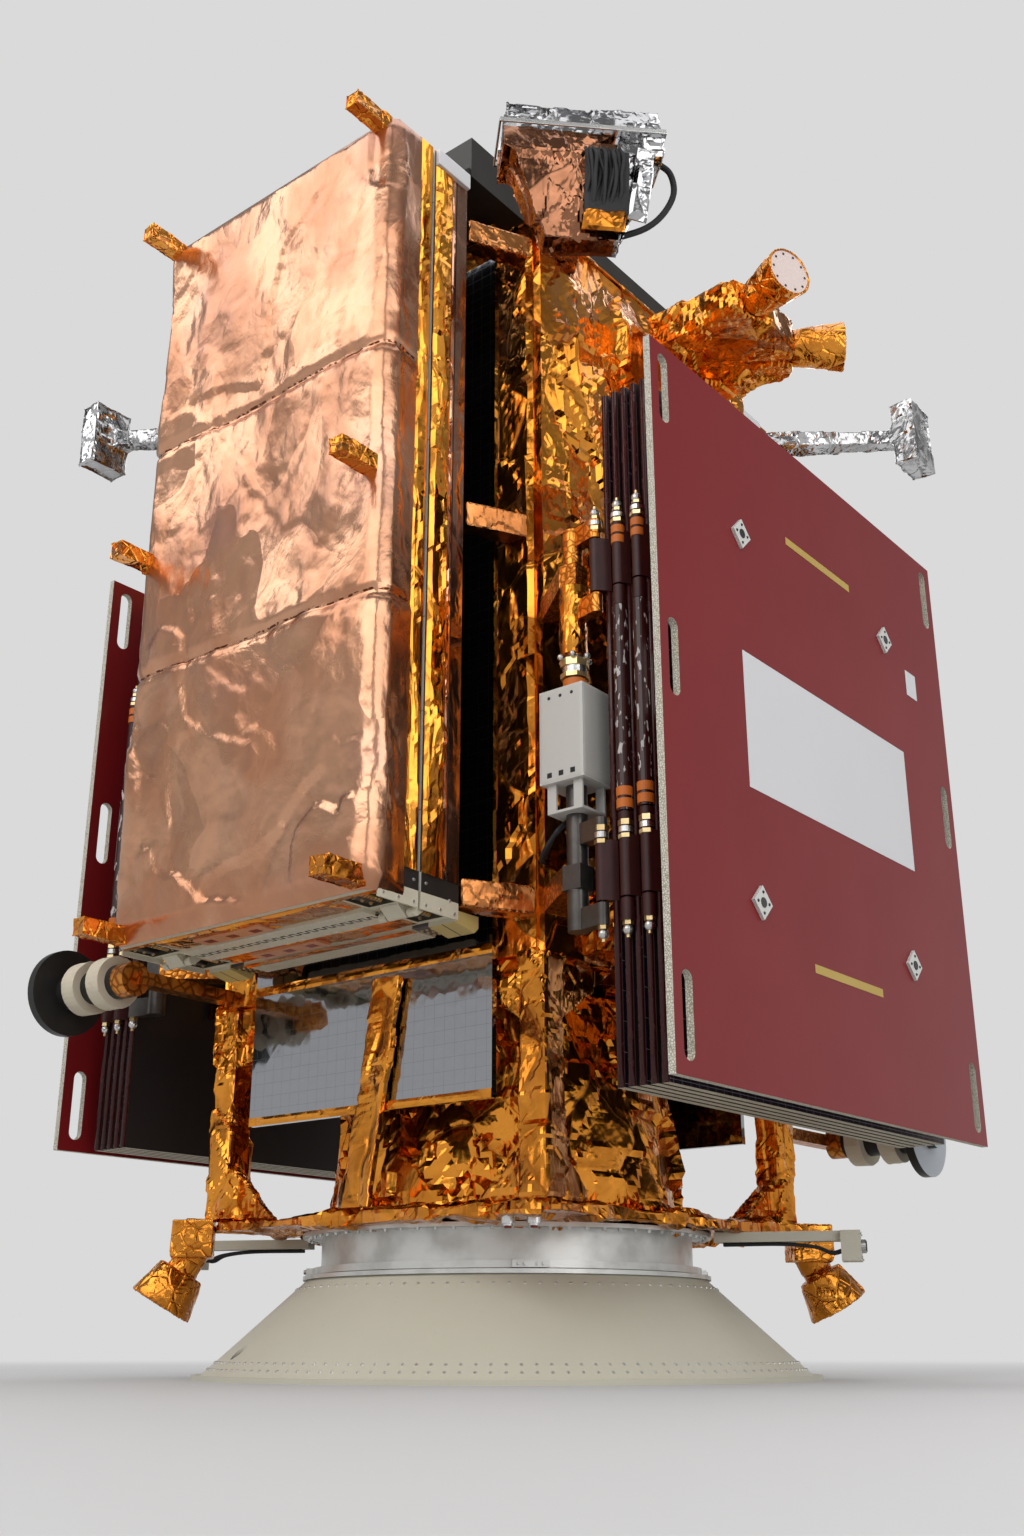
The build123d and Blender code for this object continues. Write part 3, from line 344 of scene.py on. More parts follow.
def speckled_finish(name, colour, speck):
    """Dark glossy tube with pale specks along it."""
    tube = Finish(name, specular=0.4)
    grain = tube.noise(75.0, detail=2.0, place=tube.stretched((1.0, 1.0, 0.35)))
    specks = tube.fade(grain, 0.60, 0.64)
    tube.set("Base Color", tube.mix(specks, colour, speck))
    tube.set("Roughness", 0.22 + specks * 0.3)
    tube.bump(specks, 0.0004)
    return tube.material


def plate_finish():
    """Bright base plate with rows of holes in painted shade and an arc of yellow tape."""
    plate = Finish("base_plate", metallic=1.0)
    x, y = plate.axes(plate.place)[:2]
    reach = plate.sum("SQRT", x * x + y * y)
    angle = plate.sum("ARCTAN2", y, x)
    hole_shades = []
    hole_radius = 0.0045
    for radius, pitch in ((0.452, 0.038), (0.480, 0.040), (0.512, 0.042)):
        across = (angle * radius) % pitch - 0.5 * pitch
        out = reach - radius
        hole_shades.append((across * across + out * out) < hole_radius ** 2)
    # Painted shade: the holes are painted near-black and non-metallic
    hole_shade = plate.most(*hole_shades)
    tape = plate.near(reach, 0.540, 0.012) * plate.near(angle, -1.1, 0.75)
    stain = plate.fade(plate.noise(5.0, detail=4.0), 0.4, 0.7)
    bare = plate.mix(stain * 0.5, (0.72, 0.72, 0.73), (0.50, 0.51, 0.54))
    colour = plate.mix(hole_shade, plate.mix(tape, bare, (0.75, 0.62, 0.10)), (0.03, 0.03, 0.03))
    plate.set("Base Color", colour)
    plate.set("Metallic", 1 - plate.most(tape, hole_shade))
    plate.set("Roughness", 0.22 + stain * 0.15)
    plate.bump(hole_shade * -1.0, 0.002)
    return plate.material


def liner_finish():
    """Olive grey inside of the thruster cups, with darker patches at random."""
    liner = Finish("cup_liner", metallic=0.6)
    heat = liner.fade(liner.noise(9.0, detail=4.0), 0.35, 0.70)
    liner.set("Base Color", liner.mix(heat, (0.135, 0.125, 0.095), (0.070, 0.064, 0.050)))
    liner.set("Roughness", 0.34 + heat * 0.12)
    liner.bump(liner.noise(90.0, detail=2.0), 0.0002)
    return liner.material


def plastic_finish(name, colour, shade, roughness=0.5):
    """Moulded plastic, rubber or tape with a faint texture."""
    plastic = Finish(name, specular=0.25)
    texture = plastic.noise(220.0, detail=2.0)
    cloud = plastic.noise(12.0, detail=3.0)
    plastic.set("Base Color", plastic.mix(cloud, colour, shade))
    plastic.set("Roughness", roughness + texture * 0.15)
    plastic.bump(texture, 0.0003)
    return plastic.material


RED = (0.215, 0.0105, 0.0125)
DARK_RED = (0.168, 0.0072, 0.0100)
CREAM = (0.58, 0.53, 0.40)


def cover_finish():
    """Red skin with a satin coat, pale honeycomb on the cut edges and white fixing plates."""
    cover = Finish("cover_red", specular=0.3)
    facing_x = cover.axes(cover.facing)[0]
    x = cover.axes(cover.place)[0]
    edge = abs(facing_x) < 0.5
    fixing = abs(x) > COVER_FACE + 0.0002
    cloud = cover.noise(2.2, detail=5.0, roughness=0.55)
    rub = cover.fade(cover.noise(36.0, detail=5.0, roughness=0.75), 0.64, 0.72)
    skin = cover.mix(rub * 0.25, cover.mix(cloud, RED, DARK_RED), (0.26, 0.08, 0.07))
    comb = cover.fade(cover.cells(150.0), 0.06, 0.16)
    core = cover.mix(comb, (0.34, 0.30, 0.22), (0.66, 0.64, 0.56))
    cover.set("Base Color", cover.mix(fixing, cover.mix(edge, skin, core), (0.60, 0.60, 0.57)))
    cover.set("Roughness", 0.30 + cloud * 0.12 + edge * 0.3)
    cover.bump(comb * edge + cover.noise(9.0, detail=2.0) * 0.12, 0.0012)
    return cover.material


def cell_finish(name, sense):
    """Solar cells on the face that looks along sense, fibre skin on the other, tape and ribs at the edges,
    with painted shade in the grooves between the ribs.
    """
    panel = Finish(name, specular=0.35)
    facing_x, facing_y, facing_z = panel.axes(panel.facing)
    y, z = panel.axes(panel.place)[1:]
    field = (y > -0.786) * (y < 0.846)
    front = ((facing_x * sense) > 0.5) * field
    near_far = panel.most(abs(facing_y) > 0.5, 1 - field)
    ends = (abs(facing_z) > 0.5) * field
    gaps = panel.most(panel.lines(y, 0.0405, 0.0012), panel.lines(z, 0.0805, 0.0014))
    fingers = panel.lines(y, 0.0135, 0.0006)
    cell = panel.mix(panel.noise(1.8), (0.005, 0.006, 0.012), (0.012, 0.014, 0.028))
    cell = panel.mix(panel.most(gaps * 0.7, fingers * front * 0.18), cell, (0.30, 0.30, 0.29))
    weave = panel.sum("SINE", (y + z) * 1600.0) * panel.sum("SINE", (y - z) * 1600.0)
    fibre = panel.mix(weave * 0.5 + 0.5, (0.008, 0.008, 0.009), (0.022, 0.022, 0.024))
    # Painted shade: the recessed grooves between the ribs are painted dark brown
    rib_groove_shade = panel.lines(y, 0.011, 0.0042)
    ribbed = panel.mix(rib_groove_shade, CREAM, (0.07, 0.05, 0.03))
    tape = panel.mix(panel.noise(30.0), (0.050, 0.0065, 0.0050), (0.018, 0.0035, 0.0030))
    faces = panel.mix(front, fibre, cell)
    panel.set("Base Color", panel.mix(ends, panel.mix(near_far, faces, tape), ribbed))
    panel.set("Coat Weight", front * 0.4)
    panel.set("Roughness", 0.22 + (1 - front) * 0.2 + ends * 0.2)
    panel.bump(gaps * front * -0.6 + weave * 0.05 + rib_groove_shade * ends * -1.0, 0.0012)
    return panel.material


def antenna_finish(name, axis, sense):
    """Radiating tiles on one face, black fibre on the other, cream combs and strips, hinge pockets and the
    comb teeth's sides in painted shade.
    """
    panel = Finish(name, specular=0.3)
    facing = panel.axes(panel.facing)
    x, y, z = panel.axes(panel.place)
    length = z if axis == 1 else y
    tiles = (facing[axis] * sense) > 0.7
    slots = panel.lines(x, 0.030, 0.004) * panel.lines(length, 0.024, 0.015)
    joints = panel.most(panel.lines(x, 0.270, 0.003), panel.lines(length, 0.300, 0.003))
    tile = panel.mix(panel.most(slots, joints), (0.60, 0.59, 0.54), (0.16, 0.15, 0.13))
    skin = panel.mix(panel.noise(7.0), (0.012, 0.011, 0.010), (0.035, 0.030, 0.026))
    colour = panel.mix(tiles, skin, tile)
    if axis == 1:
        # Painted shade: the hollows beside the fold hinges are painted dark
        pocket_shade = (abs(x) > 0.396) * (abs(x) < 0.527) * (z > 1.2295)
        dark = panel.mix(panel.noise(40.0), (0.020, 0.018, 0.014), (0.10, 0.085, 0.05))
        block = (z < 1.2495) * (abs(x) > 0.418) * (abs(y) < INNER_NEAR)
        cream = panel.mix(panel.noise(24.0), (0.60, 0.56, 0.44), (0.50, 0.46, 0.35))
        split = panel.near(abs(x), 0.470, 0.0022)
        film = panel.mix(panel.noise(6.0), (0.58, 0.45, 0.17), (0.44, 0.33, 0.12))
        edge = panel.mix(block, cream, panel.mix(split, film, (0.05, 0.04, 0.02)))
        # Painted shade: the comb teeth's sides are darkened as the shadows in the gaps between them
        tooth_side_shade = panel.near(abs(y), FOLD, 0.013) * (abs(facing[2]) < 0.5) * (z < WING_LOW)
        edge = panel.mix(tooth_side_shade * (abs(x) < COMB_HALF), edge, (0.05, 0.045, 0.035))
        edge = panel.mix(pocket_shade * (1 - block), edge, dark)
        colour = panel.mix(z < 1.262, colour, edge)
    panel.set("Base Color", colour)
    panel.set("Roughness", 0.36 + tiles * 0.15 + panel.noise(50.0) * 0.1)
    panel.bump(slots * tiles * -1.0 + panel.noise(180.0) * 0.08, 0.0015)
    return panel.material


def root_finish():
    """Array root: dark tube and arms under gold foil with painted shade in its creases, white drive housing
    with its vent slots in painted shade.
    """
    root = Finish("array_root")
    x, y, z = root.axes(root.place)
    housing = root.near(z, 1.700, 0.1405) * root.near(abs(x), 0.885, 0.0755)
    arm = root.most(abs(x) < 0.850, z > 1.955) * (1 - housing)
    tube = (1 - housing) * (1 - arm)
    # Painted shade: dark lines in the housing's recessed vent slots
    vent_shade = root.lines(z, 0.022, 0.005) * housing * (y > -0.735)
    edges = root.cells(38.0, place=root.warped(5.0, 0.09))
    # Painted shade: the gold foil is darkened along its creases
    crease_shade = 1 - root.fade(edges, 0.0, 0.15)
    gold = root.mix(crease_shade, (0.70, 0.28, 0.05), (0.30, 0.09, 0.012))
    white = root.mix(vent_shade, (0.62, 0.62, 0.60), (0.12, 0.12, 0.12))
    metal = root.mix(root.noise(30.0), (0.045, 0.040, 0.038), (0.12, 0.11, 0.10))
    root.set("Base Color", root.mix(arm, root.mix(housing, metal, white), gold))
    root.set("Metallic", arm + tube * 0.7)
    root.set("Roughness", 0.28 + housing * 0.25 + crease_shade * 0.1)
    root.bump(edges * arm * 2.0 - vent_shade, 0.002)
    return root.material


def mirror_finish():
    """Radiator of small mirror tiles with hair-thin joints."""
    mirror = Finish("radiator_mirror", metallic=1.0)
    x, _, z = mirror.axes(mirror.place)
    joint = mirror.most(*(mirror.lines(place, 0.040, 0.0006) for place in (x, z)))
    mirror.set("Base Color", mirror.mix(joint * 0.7, (0.34, 0.35, 0.37), (0.12, 0.12, 0.13)))
    mirror.set("Roughness", 0.05 + joint * 0.3 + mirror.noise(7.0) * 0.05)
    mirror.bump(mirror.cells(25.0, feature="F1") * 0.3 + mirror.noise(3.0), 0.0015)
    return mirror.material


def dish_finish():
    """Side antennas: black discs, one with a pale face, cream wrapped collars, foil-covered brackets with
    painted shade in their creases.
    """
    dish = Finish("side_antennas", specular=0.25)
    x = dish.axes(dish.place)[0]
    wrap = dish.near(abs(x), 0.7475, 0.0285) + dish.near(abs(x), 0.8725, 0.0285)
    bracket = abs(x) < 0.690
    face = (x > 0.990) * (dish.axes(dish.facing)[0] > 0.5)
    edges = dish.cells(30.0, place=dish.warped(5.0, 0.09))
    straps = dish.noise(26.0, detail=2.0, place=dish.stretched((3.0, 0.6, 0.6)))
    cream = dish.mix(dish.fade(straps, 0.45, 0.55), (0.62, 0.58, 0.47), (0.40, 0.36, 0.27))
    black = dish.mix(dish.noise(14.0), (0.010, 0.010, 0.010), (0.030, 0.028, 0.026))
    # Painted shade: the brackets' gold foil is darkened along its creases
    gold = dish.mix(dish.fade(edges, 0.0, 0.2), (0.28, 0.08, 0.012), (0.66, 0.26, 0.05))
    pale = dish.mix(dish.noise(6.0), (0.44, 0.47, 0.50), (0.36, 0.39, 0.43))
    boom = dish.mix(wrap, dish.mix(face, black, pale), cream)
    dish.set("Base Color", dish.mix(bracket, boom, gold))
    dish.set("Metallic", bracket)
    dish.set("Roughness", 0.34 + wrap * 0.3)
    dish.bump(straps * wrap + edges * bracket, 0.003)
    return dish.material


GOLD_FOIL = foil_finish("gold_foil", (0.82, 0.315, 0.041), (0.36, 0.10, 0.010))
GOLD_EDGE = foil_finish(
    "gold_edge", (0.86, 0.36, 0.050), (0.46, 0.14, 0.016), fold=9.0, stretch=(1.0, 1.0, 0.16),
)
GOLD_FLAT = foil_finish(
    "gold_flat", (0.80, 0.32, 0.040), (0.50, 0.16, 0.020), fold=7.0, tilt=0.30, stretch=(0.6, 1.0, 1.0),
)
GOLD_SMALL = foil_finish(
    "gold_small", (0.84, 0.33, 0.045), (0.38, 0.11, 0.012), fold=17.0, tilt=0.5, stretch=(1.0, 1.0, 1.0),
)
AMBER_FOIL = foil_finish("amber_foil", (0.62, 0.25, 0.080), (0.34, 0.10, 0.025), 0.18, fold=4.0, tilt=0.3)
BROWN_FILM = foil_finish("brown_film", (0.40, 0.22, 0.15), (0.24, 0.11, 0.07), 0.20, fold=4.0, tilt=0.2)
COPPER_FOIL = foil_finish("copper_foil", (0.78, 0.40, 0.25), (0.40, 0.15, 0.08), fold=9.0)
SILVER_FOIL = foil_finish("silver_foil", (0.56, 0.56, 0.57), (0.28, 0.27, 0.26), fold=7.0)
BOX_FOIL = foil_finish(
    "box_foil", (0.46, 0.46, 0.47), (0.20, 0.20, 0.20), fold=5.0,
    lower=(3.590, 0.245, (0.34, 0.15, 0.08), (0.10, 0.040, 0.020)),
)
BLANKET = blanket_finish("copper_blanket", (0.64, 0.345, 0.21), (0.42, 0.170, 0.086), (0.50, 0.27, 0.23))
ADAPTER_PAINT = paint_finish("adapter_paint", (0.52, 0.495, 0.405), (0.43, 0.405, 0.325))
ALLOY = metal_finish("bare_alloy", (0.66, 0.66, 0.64), (0.42, 0.41, 0.38))
YELLOW_METAL = metal_finish("yellow_chromate", (0.74, 0.54, 0.18), (0.50, 0.34, 0.10))
BRASS = metal_finish("brass_fitting", (0.78, 0.60, 0.32), (0.42, 0.28, 0.11), roughness=0.22)
DARK_METAL = metal_finish("dark_fitting", (0.11, 0.11, 0.115), (0.05, 0.05, 0.05))
BLACK_PLASTIC = plastic_finish("black_plastic", (0.012, 0.012, 0.013), (0.028, 0.028, 0.030))
ORANGE_TAPE = plastic_finish("orange_tape", (0.62, 0.17, 0.025), (0.42, 0.10, 0.014), 0.28)
BLUE_TIE = plastic_finish("blue_tie", (0.02, 0.10, 0.42), (0.015, 0.06, 0.28), 0.4)
SIGN_WHITE = paint_finish("sign_white", (0.66, 0.66, 0.67), (0.60, 0.60, 0.62), 0.4, speckle=400.0)
YELLOW_STRIP = paint_finish("yellow_strip", (0.52, 0.36, 0.08), (0.40, 0.26, 0.05), 0.4)
STICKER_PINK = plastic_finish("sticker_pink", (0.58, 0.28, 0.15), (0.46, 0.19, 0.09), 0.3)
WINDOW_RED = plastic_finish("window_red", (0.13, 0.010, 0.006), (0.20, 0.020, 0.010), 0.3)
STEEL = metal_finish("steel_fitting", (0.62, 0.62, 0.61), (0.40, 0.39, 0.37), roughness=0.18)
SPECKLED = speckled_finish("speckled_tube", (0.030, 0.0060, 0.0050), (0.45, 0.42, 0.40))
EDGE_RED = speckled_finish("edge_red", (0.040, 0.0050, 0.0045), (0.060, 0.0090, 0.0080))
HOUSING = paint_finish("drive_housing", (0.50, 0.49, 0.46), (0.42, 0.41, 0.38), 0.5)
CAP_PINK = paint_finish("cap_pink", (0.72, 0.60, 0.56), (0.64, 0.50, 0.46), 0.5)
CLOTH = plastic_finish("cream_cloth", (0.60, 0.54, 0.43), (0.50, 0.44, 0.33), 0.7)
CUP_LINER = liner_finish()
MIRROR = mirror_finish()
COVER_RED = cover_finish()


# Mesh tools

def link(made):
    """Put an object in the scene."""
    bpy.context.scene.collection.objects.link(made)


def cover_with(mesh, finish):
    """Make a finish the only one on a mesh."""
    mesh.materials.clear()
    mesh.materials.append(finish)


def mesh_from(bm, name):
    """Close a bmesh into a mesh."""
    bmesh.ops.recalc_face_normals(bm, faces=bm.faces)
    mesh = bpy.data.meshes.new(name)
    bm.to_mesh(mesh)
    bm.free()
    return mesh


def piece(name, form, finish, body="structure", smooth=False):
    """Put a bmesh, or a mesh, in the scene with its finish and its body."""
    mesh = mesh_from(form, name) if isinstance(form, bmesh.types.BMesh) else form
    made = bpy.data.objects.new(name, mesh)
    link(made)
    cover_with(mesh, finish)
    if smooth:
        mesh.shade_smooth()
    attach(made, body)
    return made


def about_z(angle):
    """A turn about the object's upright axis, in radians."""
    return Matrix.Rotation(angle, 3, "Z")


def add_box(bm, first, second, bevel=0.0):
    """A bevelled box between two opposite corners."""
    pairs = [sorted(pair) for pair in zip(first, second)]
    low = Vector([pair[0] for pair in pairs])
    high = Vector([pair[1] for pair in pairs])
    size = high - low
    place = Matrix.Translation((low + high) / 2) @ Matrix.Diagonal((*size, 1))
    made = bmesh.ops.create_cube(bm, size=1.0, matrix=place)
    if bevel:
        edges = {edge for vert in made["verts"] for edge in vert.link_edges}
        limit = min(bevel, 0.45 * min(size))
        bmesh.ops.bevel(bm, geom=list(edges), offset=limit, segments=2, affect="EDGES", profile=0.7)


def add_rod(bm, start, end, radius, sides=16, end_radius=None):
    """A round bar, or a cone, between two points."""
    start = Vector(start)
    end = Vector(end)
    turn = (end - start).to_track_quat("Z", "Y").to_matrix().to_4x4()
    bmesh.ops.create_cone(
        bm,
        cap_ends=True,
        segments=sides,
        radius1=radius,
        radius2=radius if end_radius is None else end_radius,
        depth=(end - start).length,
        matrix=Matrix.Translation((start + end) / 2) @ turn,
    )


def add_upright(bm, line, start, end, radius, sides=16):
    """A round bar on an upright line, from one height to another."""
    add_rod(bm, (*line, start), (*line, end), radius, sides)


def add_bolt(bm, place, axis, radius, height):
    """A hexagon head with a washer under it."""
    axis = Vector(axis).normalized()
    place = Vector(place)
    add_rod(bm, place, place + axis * 0.25 * height, radius * 1.35, 16)
    add_rod(bm, place + axis * 0.25 * height, place + axis * height, radius, 6, radius * 0.94)


def add_ball(bm, place, radius):
    """A small turned ball."""
    centre = Matrix.Translation(place)
    bmesh.ops.create_uvsphere(bm, u_segments=14, v_segments=10, radius=radius, matrix=centre)


def circle(bm, centre, across, other, radius, sides):
    """Points round a centre, in the plane of two directions."""
    ring = []
    for number in range(sides):
        turn = 2 * math.pi * number / sides
        ring.append(bm.verts.new(centre + (across * math.cos(turn) + other * math.sin(turn)) * radius))
    return ring


def add_skin(bm, rings):
    """Faces between rings of points, closed at both ends."""
    for first, second in zip(rings, rings[1:]):
        for number in range(len(first)):
            bm.faces.new((first[number - 1], first[number], second[number], second[number - 1]))
    bm.faces.new(rings[0])
    bm.faces.new(rings[-1])


def add_grid(bm, grid):
    """Faces between rows of points."""
    for low, high in zip(grid, grid[1:]):
        for column in range(len(low) - 1):
            bm.faces.new((low[column], low[column + 1], high[column + 1], high[column]))


def add_turned(bm, foot, axis, profile, sides=48):
    """A turned form from pairs of a distance along its axis and a radius."""
    axis = Vector(axis).normalized()
    across = axis.orthogonal().normalized()
    other = axis.cross(across)
    foot = Vector(foot)
    add_skin(bm, [circle(bm, foot + axis * way, across, other, radius, sides) for way, radius in profile])


def add_cable(bm, points, radius, sides=10):
    """A round cable bent smoothly through a few points."""
    points = [Vector(point) for point in points]
    line = [points[0] * 2 - points[1], *points, points[-1] * 2 - points[-2]]
    path = []
    steps = 6
    for before, first, second, after in zip(line, line[1:], line[2:], line[3:]):
        for number in range(steps):
            t = number / steps
            bend = (before * -1 + first * 3 - second * 3 + after) * t ** 3
            bend += (before * 2 - first * 5 + second * 4 - after) * t ** 2
            path.append(first + (bend + (second - before) * t) * 0.5)
    path.append(points[-1])
    side = (path[1] - path[0]).orthogonal()
    rings = []
    for index, place in enumerate(path):
        ahead = (path[min(index + 1, len(path) - 1)] - path[max(index - 1, 0)]).normalized()
        side = (side - ahead * side.dot(ahead)).normalized()
        rings.append(circle(bm, place, side, ahead.cross(side), radius, sides))
    add_skin(bm, rings)


def folds(point, scale, seed):
    """Crumpled foil as a height from 0 to 1: flat facets, tilted by chance, that meet in sharp folds."""
    point = Vector(point)
    warp = noise.noise_vector(point * 3.1 + Vector((seed, -seed, seed))) * 0.12
    spot = (point + warp) * scale + Vector((seed * 1.7, seed * 3.1, -seed))
    height = 0.1
    for size, share in ((1.0, 0.7), (2.4, 0.3)):
        place = spot * size
        flats = []
        for centre in noise.voronoi(place)[1][:3]:
            chance = noise.cell_vector(centre * 19.3)
            slope = chance * 2 - Vector((1, 1, 1))
            flats.append(chance.x * 0.5 + slope.dot(place - centre) * 0.45)
        height += share * max(flats)
    return min(1.0, max(0.0, height))


def crumpled(node, finish, voxel, depth, scale, seed, proud, body="structure"):
    """A foil-wrapped form that stands for a CAD node: its solid remeshed and crumpled."""
    copy = bpy.data.objects.new(f"{node}_foil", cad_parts[node].data.copy())
    link(copy)
    remesh = copy.modifiers.new("grid", "REMESH")
    remesh.mode = "VOXEL"
    remesh.voxel_size = voxel
    evaluated = copy.evaluated_get(bpy.context.evaluated_depsgraph_get())
    mesh = bpy.data.meshes.new_from_object(evaluated)
    bpy.data.objects.remove(copy)
    for vert, normal in zip(mesh.vertices, [vert.normal.copy() for vert in mesh.vertices]):
        vert.co += normal * (folds(vert.co, scale, seed) - 1 + proud) * depth
    made = piece(f"{node}_foil", mesh, finish, body)
    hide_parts(node)


def foil_bar(name, start, end, across, width, thickness, finish, depth, scale, seed, power):
    """A foil-wrapped bar between two points, box-shaped at a low power and round at 1."""
    start = Vector(start)
    along = Vector(end) - start
    across = Vector(across).normalized()
    deep = along.cross(across).normalized()
    step = 0.012
    rows = max(3, round(along.length / step))
    count = 32
    bm = bmesh.new()
    rings = []
    for row in range(rows + 1):
        ring = []
        for number in range(count):
            turn = 2 * math.pi * (number + 0.5) / count
            u = math.copysign(abs(math.cos(turn)) ** power, math.cos(turn)) * 0.5 * width
            v = math.copysign(abs(math.sin(turn)) ** power, math.sin(turn)) * 0.5 * thickness
            offset = across * u + deep * v
            point = start + along * (row / rows) + offset
            lift = (folds(point, scale, seed) - 0.5) * depth
            ring.append(bm.verts.new(point + offset.normalized() * lift))
        rings.append(ring)
    add_skin(bm, rings)
    piece(name, bm, finish)


def foil_sheet(name, corner, along, up, step, depth, scale, seed, finish, body="structure", lift=0.003):
    """A crumpled sheet on a flat face, from a corner along two edges, folded back to the face at its rim."""
    corner = Vector(corner)
    along = Vector(along)
    up = Vector(up)
    outward = along.cross(up).normalized()
    columns = max(2, round(along.length / step))
    rows = max(2, round(up.length / step))
    bm = bmesh.new()
    grid = []
    for row in range(rows + 1):
        line = []
        for column in range(columns + 1):
            u = column / columns
            v = row / rows
            point = corner + along * u + up * v
            rim = min(1.0, 12 * min(u, 1 - u, v, 1 - v) + 0.15)
            height = lift + folds(point, scale, seed) * depth * rim
            line.append(bm.verts.new(point + outward * height))
        grid.append(line)
    add_grid(bm, grid)
    rim_edges = [edge for edge in bm.edges if edge.is_boundary]
    skirt = bmesh.ops.extrude_edge_only(bm, edges=rim_edges)
    for vert in skirt["geom"]:
        if isinstance(vert, bmesh.types.BMVert):
            vert.co -= outward * (vert.co - corner).dot(outward)
    return piece(name, bm, finish, body)


def finish_node(node, finish):
    """Give a CAD node its finish."""
    cover_with(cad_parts[node].data, finish)


# Adapter and interface

def adapter():
    """Painted flange and cone, bare rings, yellow braces."""
    for node in ("adapter_flange", "adapter_cone", "connector_brackets"):
        finish_node(node, ADAPTER_PAINT)
    for node in ("interface_ring", "clamp_band", "spring_pushers", "satellite_ring", "lifting_lugs"):
        finish_node(node, ALLOY)
    finish_node("base_plate", plate_finish())
    finish_node("pusher_braces", YELLOW_METAL)
    finish_node("adapter_loom", BLACK_PLASTIC)


def adapter_rivets():
    """Rivets round the cone's foot and top, outside."""
    foot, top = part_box("adapter_cone")
    outer = top[0]
    lip = 0.012
    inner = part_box("interface_ring")[1][0] - lip
    rise = top[2] - foot[2]
    outward = Vector((rise, 0, outer - inner)).normalized()
    bm = bmesh.new()
    rows = (
        # share of the way up the cone, rivets in the row
        (0.06, 144),
        (0.13, 144),
        (0.90, 96),
    )
    for share, count in rows:
        radius = outer + (inner - outer) * share
        height = foot[2] + rise * share
        for number in range(count):
            turn = about_z(2 * math.pi * (number + 0.5) / count)
            base = turn @ Vector((radius, 0, height))
            add_rod(bm, base, base + turn @ outward * 0.003, 0.005, 8, 0.003)
    piece("adapter_rivets", bm, ALLOY)


def band_bolts():
    """Bolts of the clamp band's blocks and of the ring's upper flange."""
    band_low, band_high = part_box("clamp_band")
    ring_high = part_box("satellite_ring")[1]
    block_face = 0.642
    bm = bmesh.new()
    for number in range(4):
        turn = about_z(math.pi / 4 + number * math.pi / 2)
        for side in (-0.036, -0.018, 0.018, 0.036):
            base = turn @ Vector((block_face, side, 0.5 * (band_low[2] + band_high[2])))
            add_bolt(bm, base, turn @ Vector((1, 0, 0)), 0.005, 0.008)
    count = 72
    for number in range(count):
        turn = about_z(2 * math.pi * number / count)
        base = turn @ Vector((ring_high[0] - 0.020, 0, ring_high[2] - 0.012))
        add_bolt(bm, base, (0, 0, -1), 0.006, 0.008)
    piece("band_bolts", bm, ALLOY)


def connector_sockets():
    """Round sockets with leads and screws on the blocks of the connector brackets."""
    shells = bmesh.new()
    dark = bmesh.new()
    for degrees in CONNECTOR_TURNS:
        turn = about_z(math.radians(degrees))
        ahead = turn @ Vector((1, 0, 0))
        for side in (-0.030, 0.030):
            base = turn @ Vector((CONNECTOR_FACE, side, CONNECTOR_HEIGHT))
            add_rod(shells, base - ahead * 0.003, base + ahead * 0.014, 0.020, 24)
            add_rod(dark, base + ahead * 0.013, base + ahead * 0.016, 0.016, 20)
            points = [turn @ Vector((out, side * share, height)) for out, share, height in CONNECTOR_ROUTE]
            add_cable(dark, points, 0.0055)
        for side in (-0.048, 0.048):
            for height in (CONNECTOR_HEIGHT - 0.037, CONNECTOR_HEIGHT + 0.037):
                add_bolt(shells, turn @ Vector((CONNECTOR_FACE, side, height)), ahead, 0.004, 0.004)
    piece("connector_shells", shells, STEEL)
    piece("connector_leads", dark, BLACK_PLASTIC)


def loom_ties():
    """Blue ties round the adapter's wiring loom."""
    low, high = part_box("adapter_loom")
    loom_radius = 0.009
    radius = 0.5 * (high[0] - low[0]) - loom_radius
    half_width = 0.003
    count = 48
    bm = bmesh.new()
    for number in range(count):
        turn = about_z(2 * math.pi * (number + 0.25) / count)
        start, end = (turn @ Vector((radius, y, low[2] + loom_radius)) for y in (-half_width, half_width))
        add_rod(bm, start, end, 0.0105, 12)
    piece("loom_ties", bm, BLUE_TIE)


# Foil-wrapped structure

